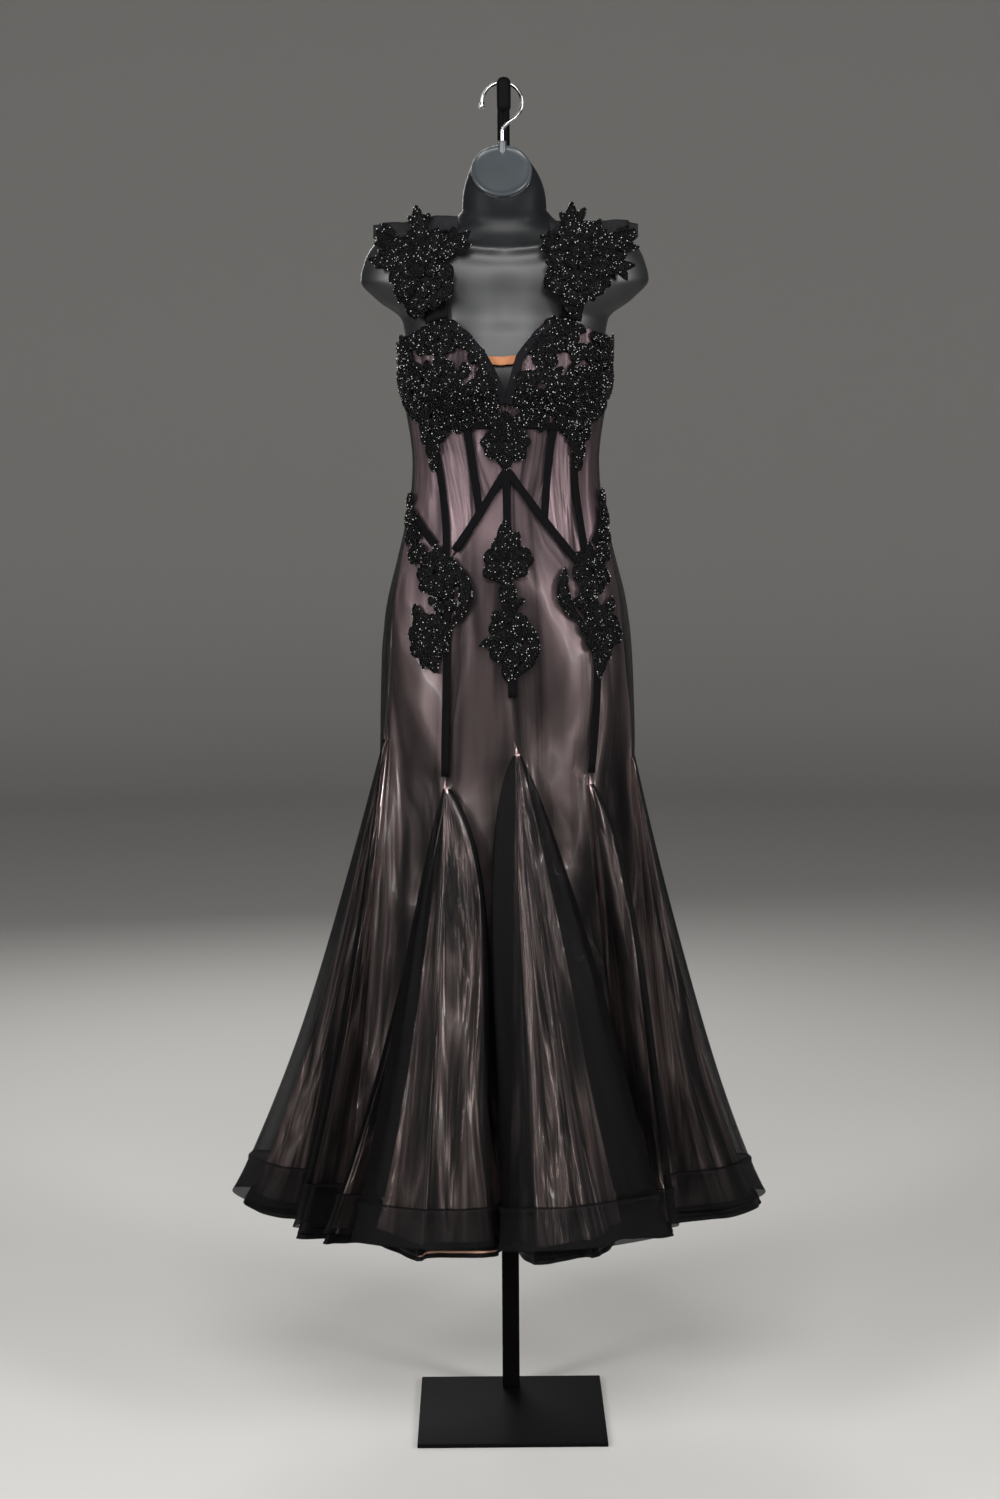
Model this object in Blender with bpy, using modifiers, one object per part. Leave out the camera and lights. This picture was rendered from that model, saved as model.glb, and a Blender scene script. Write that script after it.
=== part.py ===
# Ballroom dance dress on a hanging dress form with a post and a square base.
# Metres. Origin at the centre of the base plate's underside, +Z up, the front faces -Y, +X is to the right as seen from the front.

# %% Scene
import math

import bpy
import numpy as np

for old in list(bpy.data.objects):
    bpy.data.objects.remove(old, do_unlink=True)

# %% Named sizes
HOOK_Y = 0.0315  # plane of the hook, the form and the dress, behind the plate's centre
SEAM_GAP = 0.0004  # between neighbouring pieces
CLOTH = 0.0016  # wall of net over satin
RIBBON = 0.0010
RIBBON_LIFT = 0.0009
LACE = 0.0026  # beaded lace
LACE_LIFT = 0.0027
FORM_INSET = 0.0060  # form's skin inside the dress's outer face
FORM_WALL = 0.0030
FORM_EDGE = 104.0  # the form's open back starts this many degrees from the front
APEX_WIDTH = 0.0026
CUP_X, CUP_Z, CUP_RX, CUP_ABOVE, CUP_BELOW, CUP_RISE = 0.064, 1.400, 0.046, 0.046, 0.028, 0.022

# Dress sections: height, half width, depth in front of the hook plane, depth behind it
BODY = np.array([
    (0.250, 0.172, 0.100, 0.104),
    (0.930, 0.172, 0.100, 0.104),
    (1.011, 0.170, 0.101, 0.110),
    (1.065, 0.167, 0.102, 0.113),
    (1.119, 0.160, 0.102, 0.112),
    (1.172, 0.147, 0.099, 0.106),
    (1.226, 0.134, 0.092, 0.097),
    (1.279, 0.1255, 0.086, 0.090),
    (1.306, 0.1245, 0.085, 0.088),
    (1.332, 0.1265, 0.086, 0.088),
    (1.359, 0.1305, 0.088, 0.089),
    (1.385, 0.135, 0.090, 0.090),
    (1.412, 0.139, 0.091, 0.091),
    (1.464, 0.140, 0.086, 0.091),
    (1.500, 0.142, 0.076, 0.088),
])

# Form above the bodice: height, half width, front depth, back depth
SHOULDERS = np.array([
    (1.491, 0.138, 0.073, 0.074),
    (1.517, 0.170, 0.069, 0.070),
    (1.543, 0.192, 0.066, 0.062),
    (1.569, 0.186, 0.061, 0.054),
    (1.592, 0.172, 0.054, 0.046),
    (1.604, 0.142, 0.050, 0.042),
    (1.612, 0.104, 0.047, 0.040),
    (1.620, 0.071, 0.044, 0.038),
    (1.634, 0.0565, 0.041, 0.036),
])

# Seams: height, then degrees from the centre front
SEAM_TABLES = {
    "front": ((1.30, 0.0), (1.05, 1.0), (0.924, 3.8)),
    "princess_right": ((1.355, 47.0), (1.30, 45.2), (1.20, 45.4), (1.05, 44.6), (0.883, 39.0)),
    "side_right": ((1.464, 90.0), (1.20, 89.0), (0.912, 82.0)),
    "back_right": ((1.464, 140.0), (1.20, 142.0), (0.905, 136.0)),
    "back": ((1.464, 180.0), (0.915, 180.0)),
    "back_left": ((1.464, 220.0), (1.20, 218.0), (0.905, 224.0)),
    "side_left": ((1.464, 270.0), (1.20, 272.0), (0.940, 287.0)),
    "princess_left": ((1.355, 310.0), (1.30, 315.4), (1.20, 326.0), (1.05, 332.0), (0.879, 331.0)),
}
BONE_LEFT = ((1.352, -23.3), (1.226, -14.6))
BONE_RIGHT = ((1.352, 28.6), (1.226, 21.1))
UNDERBUST = ((-90, 1.392), (-70, 1.368), (-35, 1.348), (0, 1.352), (35, 1.348), (70, 1.368), (90, 1.392))
YOKE = ((-60, 1.08), (-32.5, 1.172), (0, 1.293), (45, 1.152), (70, 1.08))
NECK_LEFT = ((-90, 1.463), (-60, 1.470), (-46, 1.480), (-31, 1.487), (-9.8, 1.435), (-2.5, 1.397), (0, 1.372))
NECK_RIGHT = ((0, 1.372), (1.5, 1.397), (5, 1.435), (26, 1.488), (43, 1.482), (60, 1.471), (90, 1.463))
BACK_TOP = ((90, 1.463), (115, 1.455), (140, 1.440), (180, 1.425), (220, 1.440), (245, 1.455), (270, 1.463))

# Hem ring, seen from above: one row a fold or valley: x, y from the hook plane, height
HEM = np.array([
    (-0.002, -0.150, 0.288),  # 0 valley left of the front flute
    (-0.013, -0.258, 0.300),  # 1 front flute, left edge
    (0.090, -0.306, 0.316),   # 2 front flute
    (0.198, -0.242, 0.314),   # 3 front flute, right edge
    (0.146, -0.138, 0.290),   # 4 valley
    (0.215, -0.172, 0.304),   # 5 right front flute
    (0.214, -0.068, 0.290),   # 6 valley
    (0.300, -0.070, 0.300),   # 7 right side flute, front edge
    (0.348, 0.006, 0.300),    # 8 right side flute, tip
    (0.220, 0.052, 0.290),    # 9 valley
    (0.312, 0.138, 0.306),    # 10 right back flute
    (0.172, 0.128, 0.290),    # 11 valley
    (0.196, 0.268, 0.308),    # 12 second right back flute
    (0.078, 0.158, 0.288),    # 13 valley
    (0.022, 0.318, 0.308),    # 14 centre back flute
    (-0.060, 0.160, 0.288),   # 15 valley
    (-0.168, 0.282, 0.308),   # 16 second left back flute
    (-0.158, 0.140, 0.290),   # 17 valley
    (-0.300, 0.172, 0.306),   # 18 left back flute
    (-0.222, 0.066, 0.290),   # 19 valley
    (-0.378, 0.012, 0.308),   # 20 left side flute, tip
    (-0.334, -0.056, 0.302),  # 21 left side flute, front edge
    (-0.228, -0.054, 0.290),  # 22 valley
    (-0.286, -0.162, 0.304),  # 23 second left side flute
    (-0.188, -0.112, 0.290),  # 24 valley
    (-0.245, -0.190, 0.304),  # 25 small fold beside the left front flute
    (-0.180, -0.168, 0.296),  # 26 its valley
    (-0.205, -0.232, 0.306),  # 27 left front flute, left edge
    (-0.108, -0.292, 0.312),  # 28 left front flute
    (-0.024, -0.247, 0.302),  # 29 left front flute, right edge
])
# Godets: the seam they open, the places on the hem ring where they start and end, columns
FULLNESS = (  # hem row, then how far the flute there swells out above its hem
    (0.3, 0.0), (1.0, 1.0), (3.2, 1.0), (3.8, 0.0), (4.4, 0.0), (4.9, 1.0), (5.2, 1.0), (5.9, 0.0), (26.2, 0.0),
    (26.8, 0.7), (28.0, 1.0), (29.2, 1.0), (29.8, 0.0),
)
LEAN = (  # hem row, then how far the flute there leans towards the next one, to the right
    (0.25, 0.0), (1.0, -0.026), (1.8, 0.0), (4.6, 0.0), (5.1, 0.016), (5.7, 0.0), (28.3, 0.0), (29.0, 0.031),
    (29.6, 0.0),
)
GODETS = {
    "godet_front": ("front", 0.20, 3.60, 12),
    "godet_front_right": ("princess_right", 4.35, 5.70, 8),
    "godet_side_right": ("side_right", 6.30, 8.70, 10),
    "godet_back_right": ("back_right", 9.30, 12.65, 11),
    "godet_back": ("back", 13.30, 14.70, 8),
    "godet_back_left": ("back_left", 15.35, 18.70, 11),
    "godet_side_left": ("side_left", 19.30, 23.60, 13),
    "godet_front_left": ("princess_left", 24.35, 29.65, 15),
}
GORES = {  # name: seam at its lower number, seam at its higher number
    "gore_front_right": ("front", "princess_right"),
    "gore_side_front_right": ("princess_right", "side_right"),
    "gore_side_back_right": ("side_right", "back_right"),
    "gore_back_right": ("back_right", "back"),
    "gore_back_left": ("back", "back_left"),
    "gore_side_back_left": ("back_left", "side_left"),
    "gore_side_front_left": ("side_left", "princess_left"),
    "gore_front_left": ("princess_left", "front"),
}
GORE_COLUMNS = 4
SKIRT_ROWS = (0.0, 0.018, 0.09, 0.19, 0.31, 0.45, 0.60, 0.76, 0.916)
UPPER_ROWS = {"gore_front": 4, "gore_side_front": 7, "gore_side_back": 8, "gore_back": 8}  # top edge to hip line
LOWER_ROWS = (0.48, 0.94)  # then to where its godets start
HIP = 1.140
YOKE_GAP = 0.0014


# %% Curves and the body's surface
def smooth(table, x):
    """Each column of a table at x, on a cubic through its rows that doesn't overshoot."""
    table = np.asarray(table, float)
    table = table[np.argsort(table[:, 0])]
    knots, values = table[:, 0], table[:, 1:]
    slopes = np.diff(values, axis=0) / np.diff(knots)[:, None]
    tangents = np.zeros_like(values)
    tangents[0], tangents[-1] = slopes[0], slopes[-1]
    before, after = slopes[:-1], slopes[1:]
    same = before * after > 0
    mean = 2 * before * after / np.where(same, before + after, 1)
    tangents[1:-1] = np.where(same, mean, 0)
    x = np.clip(np.asarray(x, float), knots[0], knots[-1])
    i = np.clip(np.searchsorted(knots, x) - 1, 0, len(knots) - 2)
    step = (knots[i + 1] - knots[i])[..., None]
    t = (x - knots[i])[..., None] / step
    found = (
        (2 * t**3 - 3 * t**2 + 1) * values[i] + (t**3 - 2 * t**2 + t) * step * tangents[i]
        + (3 * t**2 - 2 * t**3) * values[i + 1] + (t**3 - t**2) * step * tangents[i + 1]
    )
    return found[..., 0] if values.shape[1] == 1 else found


def line(table, x):
    """A two-column table at x, straight between its rows."""
    table = np.asarray(table, float)
    table = table[np.argsort(table[:, 0])]
    return np.interp(x, table[:, 0], table[:, 1])


def ring(table, t):
    """A closed smooth curve through the table's rows, at row number t."""
    count = len(table)
    t = np.asarray(t, float) % count
    i = np.floor(t).astype(int)
    f = (t - i)[..., None]
    a, b, c, d = (table[(i + k) % count] for k in (-1, 0, 1, 2))
    bend = 0.42
    return (
        b * (2 * f**3 - 3 * f**2 + 1) + c * (3 * f**2 - 2 * f**3)
        + bend * (c - a) * (f**3 - 2 * f**2 + f) + bend * (d - b) * (f**3 - f**2)
    )


def oval(degrees, half_width, front, back, z, fullness=1.0):
    angle = np.radians(degrees)
    across, toward = np.sin(angle), np.cos(angle)
    x = half_width * across
    y = -np.where(toward > 0, front, back) * toward
    rise = np.zeros_like(x * z)
    for side in (-1, 1):
        tall = np.where(z > CUP_Z, CUP_ABOVE, CUP_BELOW)
        rise = rise + fullness * CUP_RISE * np.exp(-(((x - side * CUP_X) / CUP_RX) ** 2) - ((z - CUP_Z) / tall) ** 2)
    y = y - np.where(toward > 0, rise, 0) * np.clip(toward * 2.5, 0, 1)
    return np.stack([x + 0 * z, y + HOOK_Y, z + 0 * x], axis=-1)


def body(degrees, z):
    """The dress's outer face before the skirt opens."""
    degrees, z = np.broadcast_arrays(np.asarray(degrees, float), np.asarray(z, float))
    half_width, front, back = np.moveaxis(smooth(BODY, z), -1, 0)
    return oval(degrees, half_width, front, back, z)


def body_normal(degrees, z):
    around = body(np.asarray(degrees) + 0.5, z) - body(np.asarray(degrees) - 0.5, z)
    up = body(degrees, np.asarray(z) + 0.002) - body(degrees, np.asarray(z) - 0.002)
    return unit(np.cross(around, up))


def unit(vectors):
    return vectors / np.maximum(np.linalg.norm(vectors, axis=-1, keepdims=True), 1e-12)


def seam(name, z):
    return smooth(SEAM_TABLES[name], z)


def apex(name):
    return min(row[0] for row in SEAM_TABLES[name])


# %% Solids from grids of points
def solid(name, points, faces):
    """One mesh object, facing out."""
    points = np.asarray(points, float)
    volume = 0.0
    for face in faces:
        a = points[face[0]]
        for j in range(1, len(face) - 1):
            volume += np.dot(a, np.cross(points[face[j]], points[face[j + 1]]))
    if volume < 0:
        faces = [tuple(reversed(face)) for face in faces]
    mesh = bpy.data.meshes.new(name)
    mesh.from_pydata([tuple(p) for p in points], [], faces)
    mesh.update()
    made = bpy.data.objects.new(name, mesh)
    bpy.context.collection.objects.link(made)
    return made


def pull_in(grid, by, around):
    """The grid with its outer rows and columns moved in by half a seam gap."""
    grid = grid.copy()
    source = grid.copy()
    edges = [(0, 1, 0), (-1, -2, 0)] + ([] if around else [(0, 1, 1), (-1, -2, 1)])
    for edge, inner, axis in edges:
        way = np.take(source, inner, axis) - np.take(source, edge, axis)
        if axis == 0:
            grid[edge] += unit(way) * by
        else:
            grid[:, edge] += unit(way) * by
    return grid


def wall(name, outer, normals, thickness, around=False, gap=SEAM_GAP, lift=0.0):
    """A cloth panel: its outer points, the same moved in by the thickness, and its edges."""
    outer = pull_in(outer + normals * lift, gap / 2, around)
    inner = outer - normals * thickness if np.isscalar(thickness) else outer - normals * thickness[..., None]
    rows, columns = outer.shape[:2]
    points = np.concatenate([outer.reshape(-1, 3), inner.reshape(-1, 3)])
    half = rows * columns
    faces = []
    last = columns if around else columns - 1
    for i in range(rows - 1):
        for j in range(last):
            a, b = i * columns + j, i * columns + (j + 1) % columns
            c, d = a + columns, b + columns
            faces += [(a, b, d), (a, d, c), (half + a, half + d, half + b), (half + a, half + c, half + d)]
    for i in (0, rows - 1):
        for j in range(last):
            a, b = i * columns + j, i * columns + (j + 1) % columns
            rim = (a, half + a, half + b, b)
            faces.append(rim if i == 0 else rim[::-1])
    if not around:
        for j in (0, columns - 1):
            for i in range(rows - 1):
                a, c = i * columns + j, (i + 1) * columns + j
                rim = (a, c, half + c, half + a)
                faces.append(rim if j == 0 else rim[::-1])
    return solid(name, points, faces)


def patch(name, left, right, top, bottom, columns, rows, thickness=CLOTH, spread=None):
    """A fitted panel between two seams and two edges of the body."""
    share = np.linspace(0, 1, columns + 1) if spread is None else np.asarray(spread, float)
    ends = []
    for edge in (top, bottom):
        z = edge(left(1.3) * (1 - share) + right(1.3) * share)
        for _ in range(12):
            z = edge(left(z) * (1 - share) + right(z) * share)
        ends.append(z)
    down = np.linspace(0, 1, rows + 1)[:, None]
    z = ends[0] * (1 - down) + ends[1] * down
    degrees = left(z) * (1 - share) + right(z) * share
    return wall(name, body(degrees, z), body_normal(degrees, z), thickness)


# %% Skirt: the whole ring of columns, then one panel for each gore and godet
def flare(t, soft):
    eased = np.where(soft > 0, (np.sqrt(t * t + soft * soft) - soft) / (np.sqrt(1 + soft * soft) - soft), t)
    return 0.78 * eased + 0.22 * eased**3


def skirt(degrees, start, place, soft, rows):
    """Points at each row of the skirt's columns: from the body at its start height out to the hem ring."""
    hem = ring(HEM, place)
    hem = np.stack([hem[:, 0], hem[:, 1] + HOOK_Y, hem[:, 2]], axis=-1)
    t = np.asarray(rows, float)[:, None]
    z = start * (1 - t) + hem[:, 2] * t
    full = line(FULLNESS, np.asarray(place) % len(HEM))
    w = flare(t, soft) * (1 - full) + t**0.8 * full
    top = body(degrees, z)
    points = top * (1 - w[..., None]) + hem * w[..., None]
    points[..., 0] += line(LEAN, np.asarray(place) % len(HEM)) * np.sin(math.pi * np.sqrt(np.clip(t, 0, 1))) ** 1.5
    points[..., 2] = z
    return points


def skirt_columns():
    """Every column round the skirt: degrees, start height, place on the hem ring, softness, and the panels' slices."""
    degrees, start, place, soft, slices = [], [], [], [], {}
    names = list(GODETS)
    for k, godet in enumerate(names):
        name, first, last, columns = GODETS[godet]
        z, at = apex(name), float(seam(name, apex(name)))
        half = math.degrees(APEX_WIDTH / 2 / 0.13)
        begin = len(degrees)
        for u in np.linspace(0, 1, columns + 1):
            degrees.append(at - half + 2 * half * u)
            start.append(z)
            place.append(first + (last - first) * u)
            soft.append(0.0)
        slices[godet] = (begin, len(degrees))
        following = GODETS[names[(k + 1) % len(names)]]
        next_z, next_at = apex(following[0]), float(seam(following[0], apex(following[0])))
        next_first = following[1]
        if k == len(names) - 1:
            next_at, next_first = next_at + 360, next_first + len(HEM)
        gore = [g for g, ends in GORES.items() if ends[0] == name][0]
        begin = len(degrees) - 1
        for u in np.linspace(0, 1, GORE_COLUMNS + 1)[1:-1]:
            degrees.append((at + half) * (1 - u) + (next_at - half) * u)
            start.append(z * (1 - u) + next_z * u)
            place.append(last * (1 - u) + next_first * u)
            soft.append(0.06 * math.sin(math.pi * u))
        slices[gore] = (begin, len(degrees) + 1)
    return tuple(np.array(v) for v in (degrees, start, place, soft)) + (slices,)


def ring_normals(points):
    """Outward normals of a closed ring of columns, the same on both sides of a seam."""
    ahead = unit(np.roll(points, -1, axis=1) - points)
    around = ahead + np.roll(ahead, 1, axis=1)
    down = np.gradient(points, axis=0)
    return unit(np.cross(around, -down))


def ring_turns(points):
    """How much further a corner of the ring has to move so that its sides move by one."""
    ahead = unit(np.roll(points, -1, axis=1) - points)
    return 1 / np.maximum(np.linalg.norm(ahead + np.roll(ahead, 1, axis=1), axis=-1) / 2, 0.45)


degrees, start, place, soft, slices = skirt_columns()
skirt_points = skirt(degrees, start, place, soft, SKIRT_ROWS)
skirt_normals = ring_normals(skirt_points)
count = len(degrees)


def gore_top(name):
    """Height of a gore's top edge at these degrees."""
    if name.startswith("gore_front"):
        return lambda d: line(YOKE, (np.asarray(d) + 180) % 360 - 180) - YOKE_GAP
    if name.startswith("gore_side_front"):
        return lambda d: smooth(UNDERBUST, np.clip((np.asarray(d) + 180) % 360 - 180, -90, 90))
    return lambda d: smooth(BACK_TOP, np.asarray(d) % 360)


def gore(name):
    """A long gore: fitted rows from its top edge, then the skirt's rows down to the hem band."""
    low, high = GORES[name]
    first, last = slices[name]
    index = np.arange(first, last) % count
    share = np.linspace(0, 1, len(index))
    turn = 360 if (seam(high, 1.0) < seam(low, 1.0)) else 0
    edge = gore_top(name)
    z = np.full(len(index), 1.3)
    for _ in range(12):
        z = edge(seam(low, z) * (1 - share) + (seam(high, z) + turn) * share)
    rows = []
    above = np.linspace(0, 1, UPPER_ROWS[name.rsplit("_", 1)[0]] + 1)
    heights = [z * (1 - t) + HIP * t for t in above] + [HIP * (1 - t) + start[index] * t for t in LOWER_ROWS]
    for height in heights:
        rows.append((seam(low, height) * (1 - share) + (seam(high, height) + turn) * share, height))
    fitted = np.stack([body(d, h) for d, h in rows])
    fitted_normals = np.stack([body_normal(d, h) for d, h in rows])
    points = np.concatenate([fitted, skirt_points[:, index]])
    normals = np.concatenate([fitted_normals, skirt_normals[:, index]])
    k = len(rows)
    normals[k] = unit(normals[k - 1] + normals[k + 1])
    thickness = np.full(points.shape[:2], CLOTH)
    thickness[k - 1:k + 3] = 0.0011  # as thin as the godets where they run to their points
    return wall(name, points, normals, thickness, gap=0.0005)


for name in GORES:
    gore(name)
for name in GODETS:
    first, last = slices[name]
    thickness = np.full(skirt_points[1:, first:last].shape[:2], CLOTH)
    thickness[:2] = [[0.0010], [0.0011]]  # thinner where the godet runs to its point
    wall(name, skirt_points[1:, first:last], skirt_normals[1:, first:last], thickness, gap=0.0010)

# Hem band, with its ridge and a slight outward flick
band_rows = (SKIRT_ROWS[-1], 0.955, 1.0)
band = skirt(degrees, start, place, soft, band_rows)
band_normals = ring_normals(band)
band_out = np.array([0.0, 0.0004, 0.0018])[:, None]
wall("hem_band", band + band_normals * band_out[..., None], band_normals, 0.0018, around=True)

# Satin flounce under the net: the same folds, inside them and a little longer
flounce_rows = (0.76, SKIRT_ROWS[-1], 1.022)
flounce = skirt(degrees, start, place, soft, flounce_rows)
flounce_normals = ring_normals(flounce)
flounce_in = np.array([0.0052, 0.0062, 0.0070])[:, None] * ring_turns(flounce)
flounce = flounce - flounce_normals * flounce_in[..., None]
for _ in range(8):  # the fold tips are drawn in, never the valleys pushed out
    pull = (np.roll(flounce, 1, axis=1) + np.roll(flounce, -1, axis=1)) / 2 - flounce
    inward = np.minimum((pull * flounce_normals).sum(axis=-1), 0)
    flounce = flounce + 0.3 * flounce_normals * inward[..., None]
wall("satin_flounce", flounce, flounce_normals, 0.0010, around=True)

# %% Bodice
patch("midriff_centre", lambda z: line(BONE_LEFT, z), lambda z: line(BONE_RIGHT, z),
      lambda d: smooth(UNDERBUST, d) - 0.0004, lambda d: line(YOKE, d), 6, 5, spread=(0, 0.15, 0.29, 0.4335, 0.62, 0.81, 1))
patch("midriff_left", lambda z: seam("princess_left", z) - 360, lambda z: line(BONE_LEFT, z),
      lambda d: smooth(UNDERBUST, d) - 0.0004, lambda d: line(YOKE, d), 3, 6)
patch("midriff_right", lambda z: line(BONE_RIGHT, z), lambda z: seam("princess_right", z),
      lambda d: smooth(UNDERBUST, d) - 0.0004, lambda d: line(YOKE, d), 3, 6)
patch("cup_left", lambda z: seam("side_left", z) - 360, lambda z: 0 * z,
      lambda d: smooth(NECK_LEFT, d), lambda d: smooth(UNDERBUST, d), 9, 7, 0.0022,
      spread=(0, 0.12, 0.24, 0.36, 0.48, 0.60, 0.72, 0.82, 0.91, 1))
patch("cup_right", lambda z: 0 * z, lambda z: seam("side_right", z),
      lambda d: smooth(NECK_RIGHT, d), lambda d: smooth(UNDERBUST, d), 9, 7, 0.0022,
      spread=(0, 0.09, 0.18, 0.28, 0.40, 0.52, 0.64, 0.76, 0.88, 1))


# %% Strips that lie on the dress: ribbons, bindings, the zip, the beaded lace
def lay(degrees, z, width, lift, columns=2, crown=0.0, scallop=0.0, waves=5):
    """Points and normals of a strip along a path on the body, with its width at each point."""
    degrees, z = np.asarray(degrees, float), np.asarray(z, float)
    width = np.broadcast_to(width, degrees.shape)
    reach = np.linalg.norm(body(degrees + 1, z) - body(degrees - 1, z), axis=-1) / 2
    along = np.stack([np.gradient(degrees) * reach, np.gradient(z)], axis=-1)
    along = unit(along)
    half = width / 2 * (1 + scallop * np.cos(np.arange(len(z)) * math.pi))
    u = np.linspace(-1, 1, columns + 1)
    d = degrees[:, None] + along[:, 1:] * half[:, None] * u / reach[:, None]
    h = z[:, None] - along[:, :1] * half[:, None] * u
    normals = body_normal(d, h)
    rise = lift + crown * (1 - u * u)
    return body(d, h) + normals * rise[:, None], normals, u


def ribbon(name, path, width=0.0095, steps=10, lift=RIBBON_LIFT, thickness=RIBBON):
    """A ribbon along a few path points, degrees and height, with straight or gently curved runs."""
    path = np.asarray(path, float)
    at = np.linspace(0, len(path) - 1, steps + 1)
    d = np.interp(at, range(len(path)), path[:, 0])
    z = np.interp(at, range(len(path)), path[:, 1])
    points, normals, _ = lay(d, z, width, lift + thickness)
    return wall(name, points, normals, thickness, gap=0)


def lace(name, path, columns=2, scallop=0.10, steps=2):
    """Beaded lace: degrees, height and half width at each row, crowned, with a scalloped edge."""
    path = np.asarray(path, float)
    at = np.linspace(0, len(path) - 1, steps * (len(path) - 1) + 1)
    d, z, half = (smooth(np.stack([np.arange(len(path)), path[:, k]], axis=1), at) for k in range(3))
    points, normals, u = lay(d, z, 2 * half, LACE_LIFT + 0.55 * LACE, columns, 0.45 * LACE, scallop)
    return wall(name, points, normals, np.broadcast_to(LACE * (0.55 + 0.45 * (1 - u * u)), points.shape[:2]), gap=0)


def seam_path(name, high, low, steps=14, turn=0):
    z = high + (low - high) * np.linspace(0, 1, steps + 1) ** 1.25
    return np.stack([seam(name, z) - turn, z], axis=1)


ribbon("ribbon_yoke", [(-28.5, 1.187), (-14.2, 1.240), (0, 1.293), (13.5, 1.2507), (27, 1.2084), (40.5, 1.166)])
ribbon("ribbon_centre", [(0, 1.276), (0, 1.20), (0.6, 1.10), (2.0, 0.995)], steps=9)
ribbon("ribbon_bone_left", [(-23.3, 1.338), (-20.5, 1.30), (-16.0, 1.253)], steps=6)
ribbon("ribbon_bone_right", [(28.6, 1.338), (26.0, 1.30), (22.2, 1.241)], steps=6)
ribbon("ribbon_princess_left", seam_path("princess_left", 1.338, 0.890, turn=360), steps=14)
ribbon("ribbon_princess_right", seam_path("princess_right", 1.338, 0.893), steps=14)
ribbon("ribbon_side_left", [(-62, 1.232), (-42, 1.196)], steps=4)
ribbon("ribbon_side_right", [(70, 1.232), (54, 1.196)], steps=4)
ribbon("ribbon_underbust_left", [(d, float(smooth(UNDERBUST, d))) for d in np.linspace(-80, -3, 10)], steps=9)
ribbon("ribbon_underbust_right", [(d, float(smooth(UNDERBUST, d))) for d in np.linspace(80, 3, 10)], steps=9)
ribbon("neck_binding_left", [(-2.2, 1.381), (-4.5, 1.402), (-12.0, 1.436), (-21, 1.464), (-30, 1.480)], 0.008, 8)
ribbon("neck_binding_right", [(2.2, 1.381), (3.6, 1.402), (7.5, 1.436), (17, 1.466), (25, 1.481)], 0.008, 8)
ribbon("neckline_bridge", [(-13.0, 1.435), (-2, 1.433), (5.5, 1.435)], 0.011, 4, lift=-0.0057)
ribbon("zip", [(180, 1.418), (180, 1.30), (180, 1.08)], 0.008, 11)

lace("applique_midriff", [(-1, 1.362, .006), (-1, 1.350, .027), (-1, 1.335, .038), (-1, 1.318, .026),
                          (-1, 1.304, .017), (-1, 1.291, .004)])
lace("applique_princess_left", [(-50, 1.346, .006), (-50, 1.336, .016), (-50, 1.320, .018), (-48, 1.306, .011),
                                (-46, 1.290, .004)])
lace("applique_princess_right", [(48, 1.346, .006), (48, 1.336, .016), (48, 1.320, .018), (47, 1.306, .011),
                                 (46, 1.290, .004)])
lace("applique_side_left", [(-78, 1.262, .003), (-73, 1.243, .008), (-65, 1.218, .010), (-57, 1.194, .009),
                            (-50, 1.172, .004)], 2)
lace("applique_side_right", [(80, 1.268, .003), (77, 1.245, .008), (71, 1.218, .010), (64, 1.194, .009),
                             (58, 1.172, .004)], 2)
lace("applique_hip_left", [(-38, 1.192, .006), (-37.5, 1.177, .021), (-37, 1.158, .024), (-33, 1.136, .015),
                           (-30, 1.116, .021), (-34, 1.092, .030), (-37, 1.068, .030), (-35, 1.048, .020),
                           (-32, 1.034, .006)])
lace("applique_hip_right", [(47, 1.190, .006), (46.5, 1.172, .020), (46, 1.153, .025), (41, 1.132, .019),
                            (38, 1.112, .025), (42, 1.088, .028), (45, 1.066, .026), (46, 1.045, .015),
                            (45, 1.028, .004)])
lace("applique_front", [(0, 1.222, .005), (0, 1.203, .020), (-.5, 1.180, .033), (0, 1.156, .026), (1, 1.128, .011),
                        (1, 1.106, .018), (1.5, 1.084, .033), (1.5, 1.060, .034), (2, 1.034, .025), (1.5, 1.010, .014),
                        (1, .996, .005)])
lace("applique_cup_left", [(-41, 1.354, .022), (-42, 1.368, .046), (-43, 1.387, .060), (-44, 1.407, .062),
                           (-45, 1.427, .052), (-44, 1.446, .040), (-41, 1.463, .027), (-39, 1.476, .010)], 6, .05)
lace("applique_cup_right", [(41, 1.354, .022), (42, 1.368, .046), (43, 1.387, .060), (44, 1.407, .062),
                            (44, 1.427, .053), (41, 1.446, .042), (37, 1.463, .029), (35, 1.476, .010)], 6, .05)

# %% Dress form: a smooth hollow-backed shell from the hip to the slanted neck
FORM = np.concatenate([BODY[BODY[:, 0] <= 1.47] - [0, FORM_INSET, FORM_INSET, FORM_INSET], SHOULDERS])
NECK_CENTRE = np.array([-0.0035, HOOK_Y - 0.016, 1.682])
NECK_WIDE, NECK_TALL = 0.0405, 0.0411  # half sizes of the slanted rim
NECK_UP = np.array([0, 0.5, 0.866])
NECK_OUT = np.array([0, -0.866, 0.5])


def form(degrees, z):
    degrees, z = np.broadcast_arrays(np.asarray(degrees, float), np.asarray(z, float))
    half_width, front, back = np.moveaxis(smooth(FORM, z), -1, 0)
    return oval(degrees, half_width, front, back, z, 0.5)


def form_normal(degrees, z):
    around = form(np.asarray(degrees) + 0.5, z) - form(np.asarray(degrees) - 0.5, z)
    up = form(degrees, np.asarray(z) + 0.001) - form(degrees, np.asarray(z) - 0.001)
    return unit(np.cross(around, up))


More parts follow.
